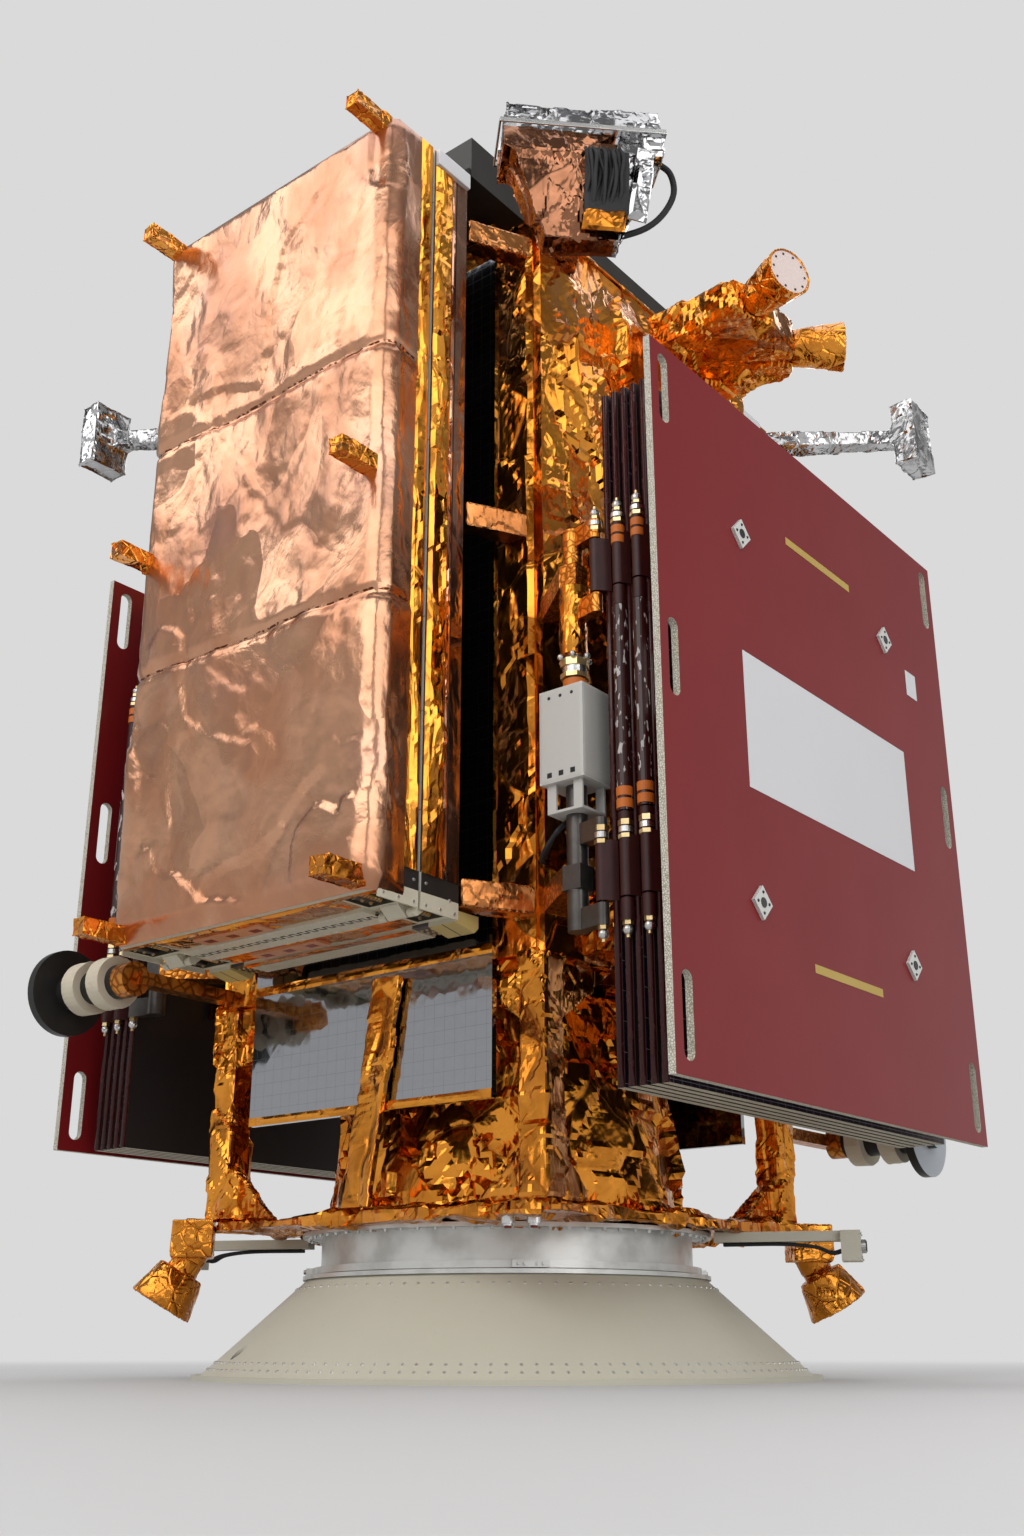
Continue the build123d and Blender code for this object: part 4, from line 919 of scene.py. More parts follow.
def wrapped_structure():
    """Foil over the posts, arms, decks, boxes and the thrust cone."""
    table = (
        # node, foil, grid, depth of the folds, folds a metre, share of the depth outside the solid
        ("bottom_deck", GOLD_FOIL, 0.014, 0.050, 5.0, 0.45),
        ("thrust_cone", GOLD_FOIL, 0.018, 0.085, 3.6, 0.35),
        ("hold_arms_front", AMBER_FOIL, 0.010, 0.016, 6.0, 0.30),
        ("hold_arms_back", AMBER_FOIL, 0.010, 0.016, 6.0, 0.30),
        ("outriggers_r", GOLD_FOIL, 0.012, 0.034, 7.0, 0.35),
        ("outriggers_l", GOLD_FOIL, 0.012, 0.034, 7.0, 0.35),
        ("corner_box", BOX_FOIL, 0.011, 0.030, 6.0, 0.0),
        ("foil_box_right", SILVER_FOIL, 0.010, 0.022, 8.0, 0.0),
        ("foil_box_left", SILVER_FOIL, 0.010, 0.022, 8.0, 0.0),
        ("tracker_shelf", GOLD_FOIL, 0.012, 0.034, 6.0, 0.35),
        ("antenna_legs", GOLD_FOIL, 0.012, 0.012, 8.0, 0.30),
        ("top_deck", GOLD_FOIL, 0.012, 0.010, 8.0, 0.30),
        ("ring_skirt", COPPER_FOIL, 0.009, 0.012, 12.0, 0.30),
        ("base_cover", COPPER_FOIL, 0.012, 0.050, 5.0, 0.30),
    )
    for number, (node, finish, voxel, depth, scale, proud) in enumerate(table):
        crumpled(node, finish, voxel, depth, scale, 3.0 + 1.7 * number, proud)
    for number in range(1, 5):
        crumpled(f"corner_post_{number}", GOLD_FOIL, 0.010, 0.036, 6.0, 31.0 + number, 0.40)
    crumpled("star_trackers", GOLD_SMALL, 0.0040, 0.007, 11.0, 51.0, 0.7)
    crumpled("thrusters", GOLD_SMALL, 0.0040, 0.010, 10.0, 53.0, 0.8)


def thruster_cups():
    """Olive liner and pale drilled plate inside each thruster's foil cup, with dark discs as painted shade in
    the plate's holes.
    """
    out, height = CUP_FOOT
    lean = math.sin(math.radians(CUP_TILT))
    drop = math.cos(math.radians(CUP_TILT))
    liners = bmesh.new()
    plates = bmesh.new()
    hole_shades = bmesh.new()
    for degrees in CUP_TURNS:
        turn = about_z(math.radians(degrees))
        foot = turn @ Vector((out, 0, height))
        axis = turn @ Vector((lean, 0, -drop))
        add_turned(liners, foot, axis, CUP_LINING)
        add_turned(plates, foot, axis, CUP_PLATE)
        # Painted shade: dark discs on the plate stand for the shade in its drilled holes
        for number in range(5):
            spot = Matrix.Rotation(2 * math.pi * number / 5, 3, axis) @ (turn @ Vector((0, 0.020, 0)))
            add_rod(hole_shades, foot + axis * 0.0130 + spot, foot + axis * 0.0145 + spot, 0.0045, 12)
    piece("cup_liners", liners, CUP_LINER, smooth=True)
    piece("cup_plates", plates, HOUSING)
    piece("cup_hole_shades", hole_shades, DARK_METAL)


def lower_bay():
    """Foil strut before the front radiator, and the deck's two capped ports."""
    foil_bar(
        "radiator_strut", (0.005, -0.712, 0.475), (0.115, -0.712, 1.140), (1, 0, 0), 0.100, 0.030,
        GOLD_FOIL, 0.022, 7.0, 111.0, 0.35,
    )
    rims = bmesh.new()
    caps = bmesh.new()
    rods = (
        # bmesh, top, bottom, radius, sides
        (rims, 0.430, 0.408, 0.020, 20),
        (rims, 0.409, 0.402, 0.015, 20),
        (caps, 0.403, 0.396, 0.010, 16),
    )
    ports = ((0.545, -0.672), (0.610, -0.640))
    for port in ports:
        for bm, top, bottom, radius, sides in rods:
            add_upright(bm, port, top, bottom, radius, sides)
    piece("port_rims", rims, STEEL)
    piece("port_caps", caps, WINDOW_RED)


def body_sides():
    """Crumpled foil on the body's faces, mirror radiators at front and back."""
    finish_node("main_body", GOLD_FOIL)
    finish_node("radiator_front", MIRROR)
    finish_node("radiator_back", MIRROR)
    low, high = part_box("main_body")
    half = high[0]
    deep = high[1]
    mirror_low, mirror_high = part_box("radiator_front")
    mirror_half = mirror_high[0]
    rise = (0, 0, high[2] - low[2])
    strips = (
        # name, height, width, seed
        ("hem", mirror_low[2], 0.026, 121.0),
        ("tape", 1.165, 0.030, 123.0),
    )
    for wing, back in WINGS:
        face = back * abs(mirror_low[1])
        for name, height, tall, seed in strips:
            foil_sheet(
                f"radiator_{name}_{wing}", (back * mirror_half, face, height),
                (-2 * back * mirror_half, 0, 0), (0, 0, tall),
                0.010, 0.006, 12.0, seed + back, GOLD_FLAT, lift=0.0015,
            )
    for side, sense in SIDES:
        finish_node(f"side_panel_{side}", GOLD_FOIL)
        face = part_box(f"side_panel_{side}")[1 if sense > 0 else 0][0]
        foil_sheet(
            f"side_foil_{side}", (face, -sense * deep, low[2]), (0, sense * 2 * deep, 0), rise,
            0.020, 0.075, 3.6, 70.0 + sense, GOLD_FOIL,
        )
        for wing, back in WINGS:
            start = sense * (half if sense * back > 0 else mirror_half)
            foil_sheet(
                f"corner_foil_{wing}_{side}", (start, back * deep, low[2]),
                (-back * (half - mirror_half), 0, 0), rise,
                0.016, 0.030, 6.0, 75.0 + sense + 2 * back, GOLD_FOIL,
            )


# Antenna panels

def seams_near(z):
    """1 on the blanket's sewn seams, fading to 0 within a hand's width of them."""
    return max(math.exp(-(((z - seam) / 0.075) ** 2)) for seam in SEAMS)


def blanket_height(x, z, seed):
    """How far the blanket stands out: flat pulls with sharp tucks, small folds and the two puckered seams."""
    swell = noise.fractal(Vector((x * 2.2, seed, z * 1.3)), 0.7, 2.1, 3) * 0.008
    tuck = folds((x * 0.9 + z * 0.30, seed, z * 0.55 - x * 0.30), 2.8, seed)
    small = folds((x - z * 0.20, seed, z * 0.50), 7.5, seed + 7.0)
    wander = noise.noise(Vector((x * 3.0, seed, 0.5))) * 0.02
    seams = sum(math.exp(-(((z + wander - seam) / 0.016) ** 2)) for seam in SEAMS)
    puckers = seams_near(z) * abs(noise.noise(Vector((x * 14.0, seed, z * 2.0)))) * 0.010
    return 0.006 + swell + tuck * 0.026 + small * 0.009 + puckers - seams * 0.014


def blanket_path(step):
    """Points round the outer panel's edge, each with the direction outwards, for the front face at +y."""
    bevel = BLANKET_FACE - OUTER_FAR
    corners = (
        (WING_HALF, BLANKET_EDGE), (WING_HALF, OUTER_FAR), (WING_HALF - bevel, BLANKET_FACE),
        (bevel - WING_HALF, BLANKET_FACE), (-WING_HALF, OUTER_FAR), (-WING_HALF, BLANKET_EDGE),
    )
    path = []
    for (x0, y0), (x1, y1) in zip(corners, corners[1:]):
        out = Vector((y1 - y0, x0 - x1, 0)).normalized()
        count = max(2, round(math.hypot(x1 - x0, y1 - y0) / step))
        for number in range(0 if not path else 1, count + 1):
            share = number / count
            path.append((x0 + (x1 - x0) * share, y0 + (y1 - y0) * share, out))
    return path


def blanket_wrap(side, sense):
    """The pink blanket round the outer panel's outer face, its chamfers and its sides."""
    step = 0.013
    taper = 0.05
    path = blanket_path(step)
    rows = round((WING_HIGH - WING_LOW) / step)
    bm = bmesh.new()
    grid = []
    for row in range(rows + 1):
        z = WING_LOW + (WING_HIGH - WING_LOW) * row / rows
        line = []
        for number, (x, y, out) in enumerate(path):
            ends = min(1.0, (z - WING_LOW) / taper, (WING_HIGH - z) / taper)
            edge = min(number, len(path) - 1 - number)
            rim = max(0.0, min(ends, 0.3 + 0.07 * edge))
            lift = 0.002 + rim * max(0.0, blanket_height(x, z, 5.0 + sense + y))
            line.append(bm.verts.new((x + out.x * lift, sense * (y + out.y * lift), z)))
        grid.append(line)
    add_grid(bm, grid)
    piece(f"blanket_{side}", bm, BLANKET, f"outer_{side}", smooth=True)


def panel_edges(side, sense):
    """Foil and film on both panels' sides and lower faces."""
    foot = WING_LOW + 0.090
    rise = (0, 0, WING_HIGH - foot)
    flanks = (
        # body, first and last distance from the middle plane, foil, depth
        ("outer", OUTER_NEAR + 0.004, BLANKET_EDGE + 0.004, GOLD_EDGE, 0.012),
        ("inner", FOIL_EDGE + 0.016, INNER_FAR - 0.004, GOLD_EDGE, 0.018),
        ("inner", FOIL_EDGE, FOIL_EDGE + 0.016, COPPER_FOIL, 0.003),
        ("inner", INNER_NEAR + 0.004, FOIL_EDGE - 0.006, BROWN_FILM, 0.002),
    )
    for turn in (1, -1):
        for index, (part, near, far, finish, depth) in enumerate(flanks):
            first, last = (sense * near, sense * far) if turn * sense > 0 else (sense * far, sense * near)
            foil_sheet(
                f"edge_{part}_{side}_{turn + 1}{index}", (turn * WING_HALF, first, foot),
                (0, last - first, 0), rise,
                0.015, depth, 8.0, 81.0 + turn + index, finish, f"{part}_{side}", 0.002,
            )
    undersides = (
        # body, name, first and last distance from the middle plane, half width, height, depth
        ("inner", "strip", 0.853, 0.886, 0.354, 1.2150, 0.0016),
        ("inner", "lower", INNER_NEAR + 0.010, FOLD - COMB_FAR, COMB_HALF, WING_LOW, 0.012),
        ("outer", "lower", FOLD + COMB_FAR, OUTER_FAR, COMB_HALF, WING_LOW, 0.012),
        ("outer", "lip", 1.2015, 1.2215, 0.531, WING_LOW, 0.005),
    )
    for index, (part, name, near, far, half, height, depth) in enumerate(undersides):
        first, last = sorted((sense * near, sense * far))
        foil_sheet(
            f"{name}_{part}_{side}", (-half, first, height), (0, last - first, 0), (2 * half, 0, 0),
            0.009, depth, 9.0, 91.0 + sense + index, GOLD_FLAT, f"{part}_{side}", 0.0008,
        )


def panel_plates(side, sense):
    """White plates at the inner panel's root corners, dark bolted ones at the ends of its strip."""
    near, far = sense * (INNER_NEAR + 0.004), sense * (INNER_FAR - 0.003)
    under = 1.219
    plates = bmesh.new()
    dark = bmesh.new()
    bolts = bmesh.new()
    for turn in (1, -1):
        inside, outside = turn * (WING_HALF + 0.001), turn * (WING_HALF + 0.018)
        add_box(plates, (inside, near, 3.752), (outside, far, 3.812), 0.004)
        add_box(dark, (turn * 0.357, sense * 0.783, under), (turn * 0.418, sense * 0.878, 1.236), 0.002)
        for x in (0.368, 0.388, 0.408):
            for y in (0.795, 0.822, 0.849):
                add_bolt(bolts, (turn * x, sense * y, under), (0, 0, -1), 0.0040, 0.004)
    piece(f"corner_plates_{side}", plates, SIGN_WHITE, f"inner_{side}")
    piece(f"strip_plates_{side}", dark, DARK_METAL, f"inner_{side}")
    piece(f"strip_bolts_{side}", bolts, BRASS, f"inner_{side}")


def fold_stickers():
    """Pink plates with three red windows on the front wing's lower edge."""
    under = WING_LOW - 0.0135
    half = 0.029
    window_half_x, window_half_y = 0.017, 0.013
    for part, middle in (("outer", -1.157), ("inner", -0.931)):
        plates = bmesh.new()
        windows = bmesh.new()
        add_box(plates, (-0.239, middle - half, under), (0.050, middle + half, under + 0.012), 0.001)
        for number in range(3):
            x = -0.191 + number * 0.0965
            low = (x - window_half_x, middle - window_half_y, under - 0.0008)
            high = (x + window_half_x, middle + window_half_y, under + 0.004)
            add_box(windows, low, high)
        piece(f"sticker_{part}", plates, STICKER_PINK, f"{part}_front")
        piece(f"windows_{part}", windows, WINDOW_RED, f"{part}_front")


def hinge_works(side, sense):
    """Springs, blocks and bolts in the hollows beside each fold hinge."""
    blocks = (
        # first and last distance across, the bolts' distance across, half length, underside
        (0.402, 0.432, 0.418, 0.044, 1.236),
        (0.522, 0.496, 0.509, 0.040, 1.233),
    )
    block_top = 1.258
    rods = (
        # distance across, half length, height, radius, sides
        (0.448, 0.042, 1.243, 0.005, 10),
        (0.475, 0.030, 1.248, 0.007, 12),
    )
    spring_x, spring_z = 0.448, 1.243
    coil_pitch = 0.012
    down = (0, 0, -1)
    for part, away in (("inner", -1), ("outer", 1)):
        dark = bmesh.new()
        bright = bmesh.new()
        middle = sense * (FOLD + away * 0.100)
        foot = sense * (FOLD + away * 0.0225)
        for turn in (-1, 1):
            for near, far, bolted, half, under in blocks:
                low = (turn * near, middle - half, under)
                add_box(dark, low, (turn * far, middle + half, block_top), 0.003)
                for y in (middle - 0.035, middle, middle + 0.035):
                    add_bolt(bright, (turn * bolted, y, under), down, 0.0045, 0.005)
            for number in range(7):
                y = middle - 0.039 + number * coil_pitch
                start = (turn * spring_x, y, spring_z)
                add_rod(bright, start, (turn * spring_x, y + 0.5 * coil_pitch, spring_z), 0.010, 14)
            for x, half, height, radius, sides in rods:
                start = (turn * x, middle - half, height)
                add_rod(bright, start, (turn * x, middle + half, height), radius, sides)
            for x in (0.410, 0.4625, 0.515):
                add_bolt(bright, (turn * x, foot, WING_LOW - 0.005), down, 0.0040, 0.004)
        piece(f"spring_blocks_{part}_{side}", dark, DARK_METAL, f"{part}_{side}")
        piece(f"springs_{part}_{side}", bright, BRASS, f"{part}_{side}")


def comb_screws(side, sense):
    """Small screws along the combs and on the side plates."""
    pitch = 0.034
    plate_screws = (
        # distance from the fold's axis, height
        (0.025, 1.228), (0.025, 1.290), (0.085, 1.228), (0.145, 1.228), (0.125, 1.262),
    )
    for part, away in (("inner", -1), ("outer", 1)):
        bm = bmesh.new()
        for number in range(23):
            x = (number - 11) * pitch
            y = sense * (FOLD + away * 0.052)
            add_rod(bm, (x, y, 1.2175), (x, y, 1.2155), 0.0032, 8, 0.0022)
        for turn in (-1, 1):
            for offset, height in plate_screws:
                start = Vector((turn * (WING_HALF + 0.005), sense * (FOLD + away * offset), height))
                add_rod(bm, start, start + Vector((turn * 0.004, 0, 0)), 0.0055, 12, 0.004)
        piece(f"comb_screws_{part}_{side}", bm, ALLOY, f"{part}_{side}")


def antenna():
    """Both wings and the centre panel."""
    finish_node("antenna_centre", antenna_finish("centre_tiles", 2, 1))
    for side, sense in WINGS:
        finish_node(f"antenna_inner_{side}", antenna_finish(f"inner_tiles_{side}", 1, sense))
        finish_node(f"antenna_outer_{side}", antenna_finish(f"outer_tiles_{side}", 1, -sense))
        blanket_wrap(side, sense)
        panel_edges(side, sense)
        panel_plates(side, sense)
        hinge_works(side, sense)
        comb_screws(side, sense)
        crumpled(f"hold_posts_{side}", GOLD_SMALL, 0.006, 0.014, 11.0, 61.0 + sense, 0.0, f"outer_{side}")
    fold_stickers()


# Solar arrays

def arrays():
    """Cells, skins and edges of the folded panels, the red covers and the root brackets."""
    root = root_finish()
    for side, sense in SIDES:
        for number in PANELS:
            cell_side = sense if number % 2 else -sense
            finish_node(f"solar_{side}{number}", cell_finish(f"cells_{side}{number}", cell_side))
            x = sense * (MIDDLES_START + PITCH * (number - 1))
            bead = bmesh.new()
            add_upright(bead, (x, NEAR_EDGE), PANEL_LOW, PANEL_HIGH, 0.010)
            piece(f"edge_bead_{side}{number}", bead, EDGE_RED, f"solar_{side}{number}", smooth=True)
        finish_node(f"array_cover_{side}", COVER_RED)
        finish_node(f"array_root_{side}", root)


def cover_trim():
    """Blank sign, yellow strips, small plate and fixing bolts on each cover."""
    table = (
        # name, finish, near corner, far corner
        ("sign", SIGN_WHITE, (-0.453, 1.575), (0.613, 2.000)),
        ("strip_top", YELLOW_STRIP, (-0.137, 2.482), (0.293, 2.508)),
        ("strip_low", YELLOW_STRIP, (-0.137, 1.097), (0.293, 1.123)),
        ("plate", SIGN_WHITE, (0.690, 2.240), (0.770, 2.335)),
    )
    thickness = 0.0012
    for side, sense in SIDES:
        face = sense * COVER_FACE
        ahead = Vector((sense, 0, 0))
        body = f"solar_{side}5"
        for name, finish, near, far in table:
            bm = bmesh.new()
            add_box(bm, (face, *near), (face + sense * thickness, *far), 0.0005)
            piece(f"cover_{name}_{side}", bm, finish, body)
        bolts = bmesh.new()
        for y in (-0.430, 0.530):
            for z in (1.240, 2.390):
                base = Vector((sense * FIXING_FACE, y, z))
                add_rod(bolts, base - ahead * 0.008, base + ahead * 0.002, 0.0145, 18)
                for across, up in ((1, 0), (-1, 0), (0, 1), (0, -1)):
                    add_bolt(bolts, base + Vector((0, across, up)) * 0.030, ahead, 0.0035, 0.003)
        piece(f"cover_bolts_{side}", bolts, DARK_METAL, body)


def hinge_tubes():
    """Speckled tubes on the near hinge lines, with taped bands, nuts and turned ends."""
    tube_low, tube_high = 1.446, 2.059
    bands = (
        # lower end, upper end, radius
        (1.452, 1.478, 0.0235), (1.486, 1.512, 0.0235), (2.258, 2.282, 0.0200), (2.290, 2.314, 0.0200),
    )
    nuts = ((1.368, 1.380), (1.404, 1.420), (2.326, 2.338))
    rings = ((1.384, 1.400), (2.342, 2.356))
    tips = (
        # height, down or up
        (1.1425, -1),
        (2.3625, 1),
    )
    for side, sense in SIDES:
        for number in (0, 2, 4):
            x = sense * (HINGES_START + number * PITCH if number else ROOT_HINGE)
            body = f"solar_{side}{number}" if number else "structure"
            line = (x, NEAR_HINGE)
            brass = bmesh.new()
            steel = bmesh.new()
            if number:
                tube = bmesh.new()
                tape = bmesh.new()
                add_upright(tube, line, tube_low, tube_high, 0.021, 24)
                for low, high, radius in bands:
                    add_upright(tape, line, low, high, radius, 24)
                piece(f"hinge_tube_{side}{number}", tube, SPECKLED, body)
                piece(f"hinge_tape_{side}{number}", tape, ORANGE_TAPE, body)
            for low, high in nuts:
                add_upright(brass, line, low, high, 0.0210, 6)
            for low, high in rings:
                add_upright(steel, line, low, high, 0.0200, 20)
            for tip, turn in tips:
                add_upright(brass, line, tip, tip + turn * 0.012, 0.015, 6)
                add_ball(steel, (*line, tip + turn * 0.024), 0.015)
                add_upright(brass, line, tip + turn * 0.036, tip + turn * 0.046, 0.006, 10)
            piece(f"hinge_nuts_{side}{number}", brass, BRASS, body)
            piece(f"hinge_balls_{side}{number}", steel, STEEL, body)


def drive_housing(side, sense):
    """Shell of a drive housing with its foot bracket, small openings and leads."""
    x, y = sense * DRIVE_X, DRIVE_Y
    shell = bmesh.new()
    low = (x - DRIVE_HALF_X, y - DRIVE_HALF_Y, DRIVE_LOW)
    add_box(shell, low, (x + DRIVE_HALF_X, y + DRIVE_HALF_Y, DRIVE_HIGH), 0.010)
    for middle in (y - 0.052, y + 0.052):
        for first, last in ((x - 0.060, x - 0.030), (x + 0.030, x + 0.060)):
            low = (first, middle - 0.004, DRIVE_FOOT)
            add_box(shell, low, (last, middle + 0.004, DRIVE_LOW + 0.0035), 0.002)
    low = (x - 0.060, y - 0.056, DRIVE_FOOT - 0.006)
    add_box(shell, low, (x + 0.060, y + 0.056, DRIVE_FOOT + 0.002), 0.002)
    piece(f"drive_shell_{side}", shell, HOUSING)
    dark = bmesh.new()
    front, back = y - 0.0725, y - 0.070
    for middle in (x - 0.040, x, x + 0.040):
        add_box(dark, (middle - 0.008, front, 1.575), (middle + 0.008, back, 1.590), 0.001)
        add_rod(dark, (middle, front, 1.815), (middle, back, 1.815), 0.005, 12)
    for number in range(3):
        bend = 0.012 * number
        route = (
            # distance towards the middle plane, distance across, height
            (0.040, 0.020, DRIVE_FOOT), (0.050 + bend, -0.030, 1.430 - bend),
            (0.110 + bend, 0.010, 1.400 - bend), (0.205, 0.125, 1.430 - bend),
        )
        add_cable(dark, [(x - sense * inward, y + across, height) for inward, across, height in route], 0.006)
    piece(f"drive_leads_{side}", dark, BLACK_PLASTIC)


def drive_fittings(side, sense):
    """Tape, nuts, ring and balls above a drive housing, and the foil round the tube over them."""
    x, y = sense * DRIVE_X, DRIVE_Y
    tape = bmesh.new()
    add_upright(tape, (x, y), 1.846, 1.882, 0.0345, 28)
    piece(f"drive_tape_{side}", tape, ORANGE_TAPE)
    brass = bmesh.new()
    steel = bmesh.new()
    for low, high in ((1.886, 1.900), (1.922, 1.944)):
        add_upright(brass, (x, y), low, high, 0.042, 8)
    add_upright(steel, (x, y), 1.900, 1.922, 0.036, 24)
    reach = 0.044
    for number in range(6):
        turn = math.pi * number / 3
        add_ball(steel, (x + reach * math.cos(turn), y + reach * math.sin(turn), 1.950), 0.010)
    piece(f"drive_nuts_{side}", brass, BRASS)
    piece(f"drive_ring_{side}", steel, STEEL)
    foil_bar(
        f"tube_wrap_{side}", (x, y, 1.960), (x, y, 2.172), (1, 0, 0), 0.082, 0.082,
        GOLD_EDGE, 0.020, 9.0, 131.0 + sense, 1.0,
    )


# Sensors and small units

def trackers():
    """Studded cap on the first star tracker, dark lining in the second."""
    capped, opened = [(about_z(math.radians(turn)), Vector(foot)) for turn, foot in TRACKERS]
    turn, foot = capped
    ahead = turn @ Vector((1, 0, 0))
    cap_face = TRACKER_LENGTH - 0.003
    cap_radius = 0.083
    stud_ring = 0.070
    cap = bmesh.new()
    add_turned(cap, foot, ahead, ((TRACKER_LENGTH - 0.012, cap_radius), (cap_face, cap_radius)))
    piece("tracker_cap", cap, CAP_PINK)
    studs = bmesh.new()
    for number in range(10):
        around = math.pi * number / 5
        place = Vector((cap_face, stud_ring * math.cos(around), stud_ring * math.sin(around)))
        spot = foot + turn @ place
        add_rod(studs, spot, spot + ahead * 0.002, 0.0045, 10)
    piece("tracker_studs", studs, DARK_METAL)
    turn, foot = opened
    lining = bmesh.new()
    add_turned(lining, foot, turn @ Vector((1, 0, 0)), TRACKER_LINING)
    piece("tracker_lining", lining, BLACK_PLASTIC)


def side_antennas():
    """Finish of the side antennas, and the cloth straps wound on their booms."""
    finish_node("side_antennas", dish_finish())
    boom_y = 1.080
    strap_length = 0.060
    strap_across = 0.168
    for name, sense, height in (("front", -1, 1.180), ("back", 1, 0.780)):
        for number, place in enumerate((0.7175, 0.8425)):
            start = Vector((sense * place, sense * boom_y, height))
            end = start + Vector((sense * strap_length, 0, 0))
            foil_bar(
                f"boom_strap_{name}_{number + 1}", start, end, (0, 1, 0), strap_across, strap_across,
                CLOTH, 0.012, 7.0, 151.0 + number + sense, 1.0,
            )


def box_rim():
    """Bright rim round the corner box."""
    half_x, half_y = 0.259, 0.100
    end_half = 0.099
    half_width = 0.003
    half_height = 0.008
    rim = bmesh.new()
    for y in (half_width - half_y, half_y - half_width):
        low = (-half_x, y - half_width, -half_height)
        add_box(rim, low, (half_x, y + half_width, half_height), 0.002)
    for x in (half_width - half_x, half_x - half_width):
        low = (x - half_width, -end_half, -half_height)
        add_box(rim, low, (x + half_width, end_half, half_height), 0.002)
    rim.transform(BOX_PLACE)
    piece("box_rim", rim, STEEL)


def box_harness():
    """Bundle of leads out of the corner box's opening, and one thick lead round its end."""
    harness = bmesh.new()
    for number in range(11):
        x = 0.012 + 0.0105 * number
        stray = [noise.noise(Vector((number * 1.7, row * 2.3, 0.5))) * 0.020 for row in range(4)]
        out = -0.096 - 0.008 * (number % 3)
        add_cable(harness, (
            (x - 0.004, -0.076, -0.060), (x + stray[0], out, -0.120), (x + stray[1], out - 0.004, -0.190),
            (x * 0.9 + stray[2], out + 0.010, -0.260), (x * 0.6 + stray[3], -0.058, -0.345),
        ), 0.0062)
    add_cable(harness, (
        (0.250, 0.020, -0.015), (0.292, 0.024, -0.050), (0.300, 0.020, -0.130), (0.262, 0.010, -0.220),
        (0.200, 0.000, -0.290), (0.105, -0.006, -0.340),
    ), 0.010, 12)
    harness.transform(BOX_PLACE)
    piece("box_harness", harness, BLACK_PLASTIC)


def box_sheets():
    """The corner box's opening as a black sheet of painted shade, the silver flap beside it and the gold foil
    below.
    """
    table = (
        # name, corner, along, up, step, depth, folds a metre, finish
        # Painted shade: a black sheet stands for the dark inside of the box's opening
        (
            "opening", (-0.002, -0.087, -0.320), (0.136, 0, 0), (0.006, 0, 0.235),
            0.010, 0.010, 14.0, BLACK_PLASTIC,
        ),
        (
            "flap", (0.128, -0.084, -0.330), (0.060, 0.014, 0), (0.040, 0, 0.270),
            0.009, 0.026, 9.0, SILVER_FOIL,
        ),
        (
            "gusset", (-0.010, -0.074, -0.372), (0.130, 0, 0), (0.010, -0.012, 0.070),
            0.009, 0.020, 11.0, GOLD_FOIL,
        ),
    )
    for number, (name, corner, along, up, step, depth, scale, finish) in enumerate(table):
        made = foil_sheet(f"box_{name}", corner, along, up, step, depth, scale, 141.0 + number, finish)
        made.data.transform(BOX_PLACE)


# Floor, light and camera

def lamps():
    """Soft lamps round the object."""
    table = (
        # name, place, width, height, watts
        ("key", (1.5, -8.5, 7.0), 9.0, 6.5, 400.0),
        ("right", (8.5, -2.5, 5.0), 6.0, 8.0, 270.0),
        ("left", (-4.7, -5.3, 9.3), 5.0, 5.0, 180.0),
        ("top", (0.5, 0.5, 10.5), 7.0, 7.0, 200.0),
        ("back", (-2.0, 7.5, 9.0), 6.0, 5.0, 280.0),
    )
    aim = Vector((0, 0, 1.9))
    for name, place, width, height, watts in table:
        lamp = bpy.data.lights.new(name, "AREA")
        lamp.shape = "RECTANGLE"
        lamp.size = width
        lamp.size_y = height
        lamp.energy = watts
        made = bpy.data.objects.new(name, lamp)
        made.location = place
        made.visible_camera = False
        made.rotation_euler = (aim - Vector(place)).to_track_quat("-Z", "Y").to_euler()
        link(made)


# Grey of the background and of the floor far away
HORIZON = 0.70


def seen_directly(network):
    """Whether the camera sees a ray, and whether the camera, a mirror or glass does."""
    path = network.tree.nodes.new("ShaderNodeLightPath")
    camera_ray = Value(network, path.outputs["Is Camera Ray"])
    others = (Value(network, path.outputs[name]) for name in ("Is Glossy Ray", "Is Transmission Ray"))
    return camera_ray, network.most(camera_ray, *others)


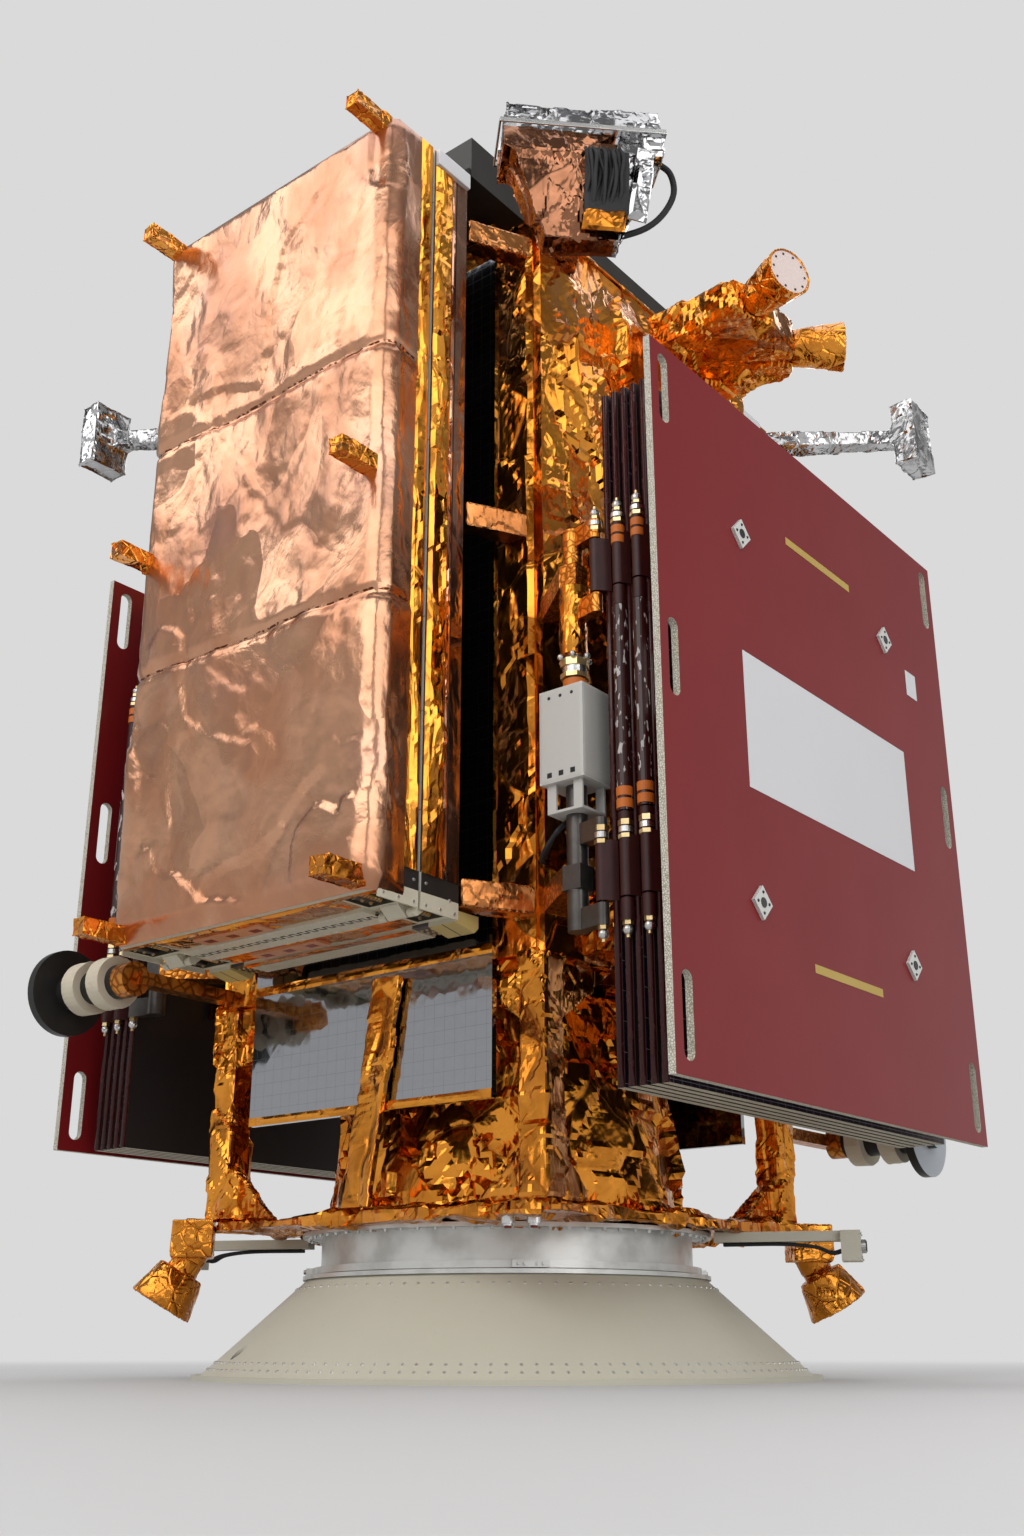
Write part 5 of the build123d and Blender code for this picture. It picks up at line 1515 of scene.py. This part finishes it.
def backdrop():
    """Even soft light and a plain pale background, which is darker overhead in reflections."""
    world = bpy.data.worlds.new("studio")
    bpy.context.scene.world = world
    world.use_nodes = True
    world.node_tree.nodes.clear()
    sky = Network(world.node_tree)
    height = sky.axes(sky.place_of("Generated"))[2]
    camera_ray, seen = seen_directly(sky)
    reflected = HORIZON - sky.fade(height, 0.05, 0.75) * 0.50
    soft = sky.node("ShaderNodeBackground", {}, {"Color": (1, 1, 1, 1), "Strength": 0.62})
    shown = sky.node("ShaderNodeBackground", {}, {
        "Color": (1, 1, 1, 1), "Strength": camera_ray * HORIZON + (1 - camera_ray) * reflected,
    })
    mixed = sky.node("ShaderNodeMixShader", {}, {0: seen, 1: soft, 2: shown})
    sky.node("ShaderNodeOutputWorld", {}, {"Surface": mixed}, None)


def floor():
    """Pale sealed floor that runs into the background's colour far away."""
    bm = bmesh.new()
    bmesh.ops.create_circle(bm, cap_ends=True, segments=96, radius=60.0)
    ground = bpy.data.objects.new("floor", mesh_from(bm, "floor"))
    finish = Finish("pale_floor")
    x, y = finish.axes(finish.place)[:2]
    away = finish.sum("SQRT", x * x + y * y)
    cloud = finish.noise(0.8, detail=4.0)
    finish.set("Base Color", finish.mix(cloud, (0.52, 0.52, 0.52), (0.49, 0.492, 0.495)))
    finish.set("Roughness", 0.55 + cloud * 0.1)
    finish.bump(finish.noise(40.0, detail=3.0), 0.0004)
    far = finish.node("ShaderNodeEmission", {}, {"Color": (HORIZON, HORIZON, HORIZON, 1)})
    factor = finish.fade(away, 2.5, 9.0) * seen_directly(finish)[1]
    near = Value(finish, finish.shader.outputs[0])
    blend = finish.node("ShaderNodeMixShader", {}, {0: factor, 1: near, 2: far})
    finish.put(finish.tree.nodes["Material Output"].inputs["Surface"], blend)
    ground.data.materials.append(finish.material)
    link(ground)


def camera():
    """The photograph's side of the object, seen from floor level."""
    azimuth = math.radians(38.9)
    distance = 5.25
    eye_height = 0.09
    eye = Vector((distance * math.sin(azimuth), -distance * math.cos(azimuth), eye_height))
    target = Vector((0.02, 0.0, 2.05))
    lens = bpy.data.cameras.new("camera")
    lens.lens = 36.35
    lens.sensor_width = 36.0
    made = bpy.data.objects.new("camera", lens)
    made.location = eye
    made.rotation_euler = (target - eye).to_track_quat("-Z", "Y").to_euler()
    link(made)
    bpy.context.scene.camera = made
    bpy.context.scene.view_settings.view_transform = "Standard"


adapter()
adapter_rivets()
band_bolts()
loom_ties()
connector_sockets()
wrapped_structure()
body_sides()
antenna()
arrays()
cover_trim()
hinge_tubes()
for side, sense in SIDES:
    drive_housing(side, sense)
    drive_fittings(side, sense)
lower_bay()
thruster_cups()
trackers()
side_antennas()
box_rim()
box_harness()
box_sheets()
floor()
lamps()
backdrop()
camera()
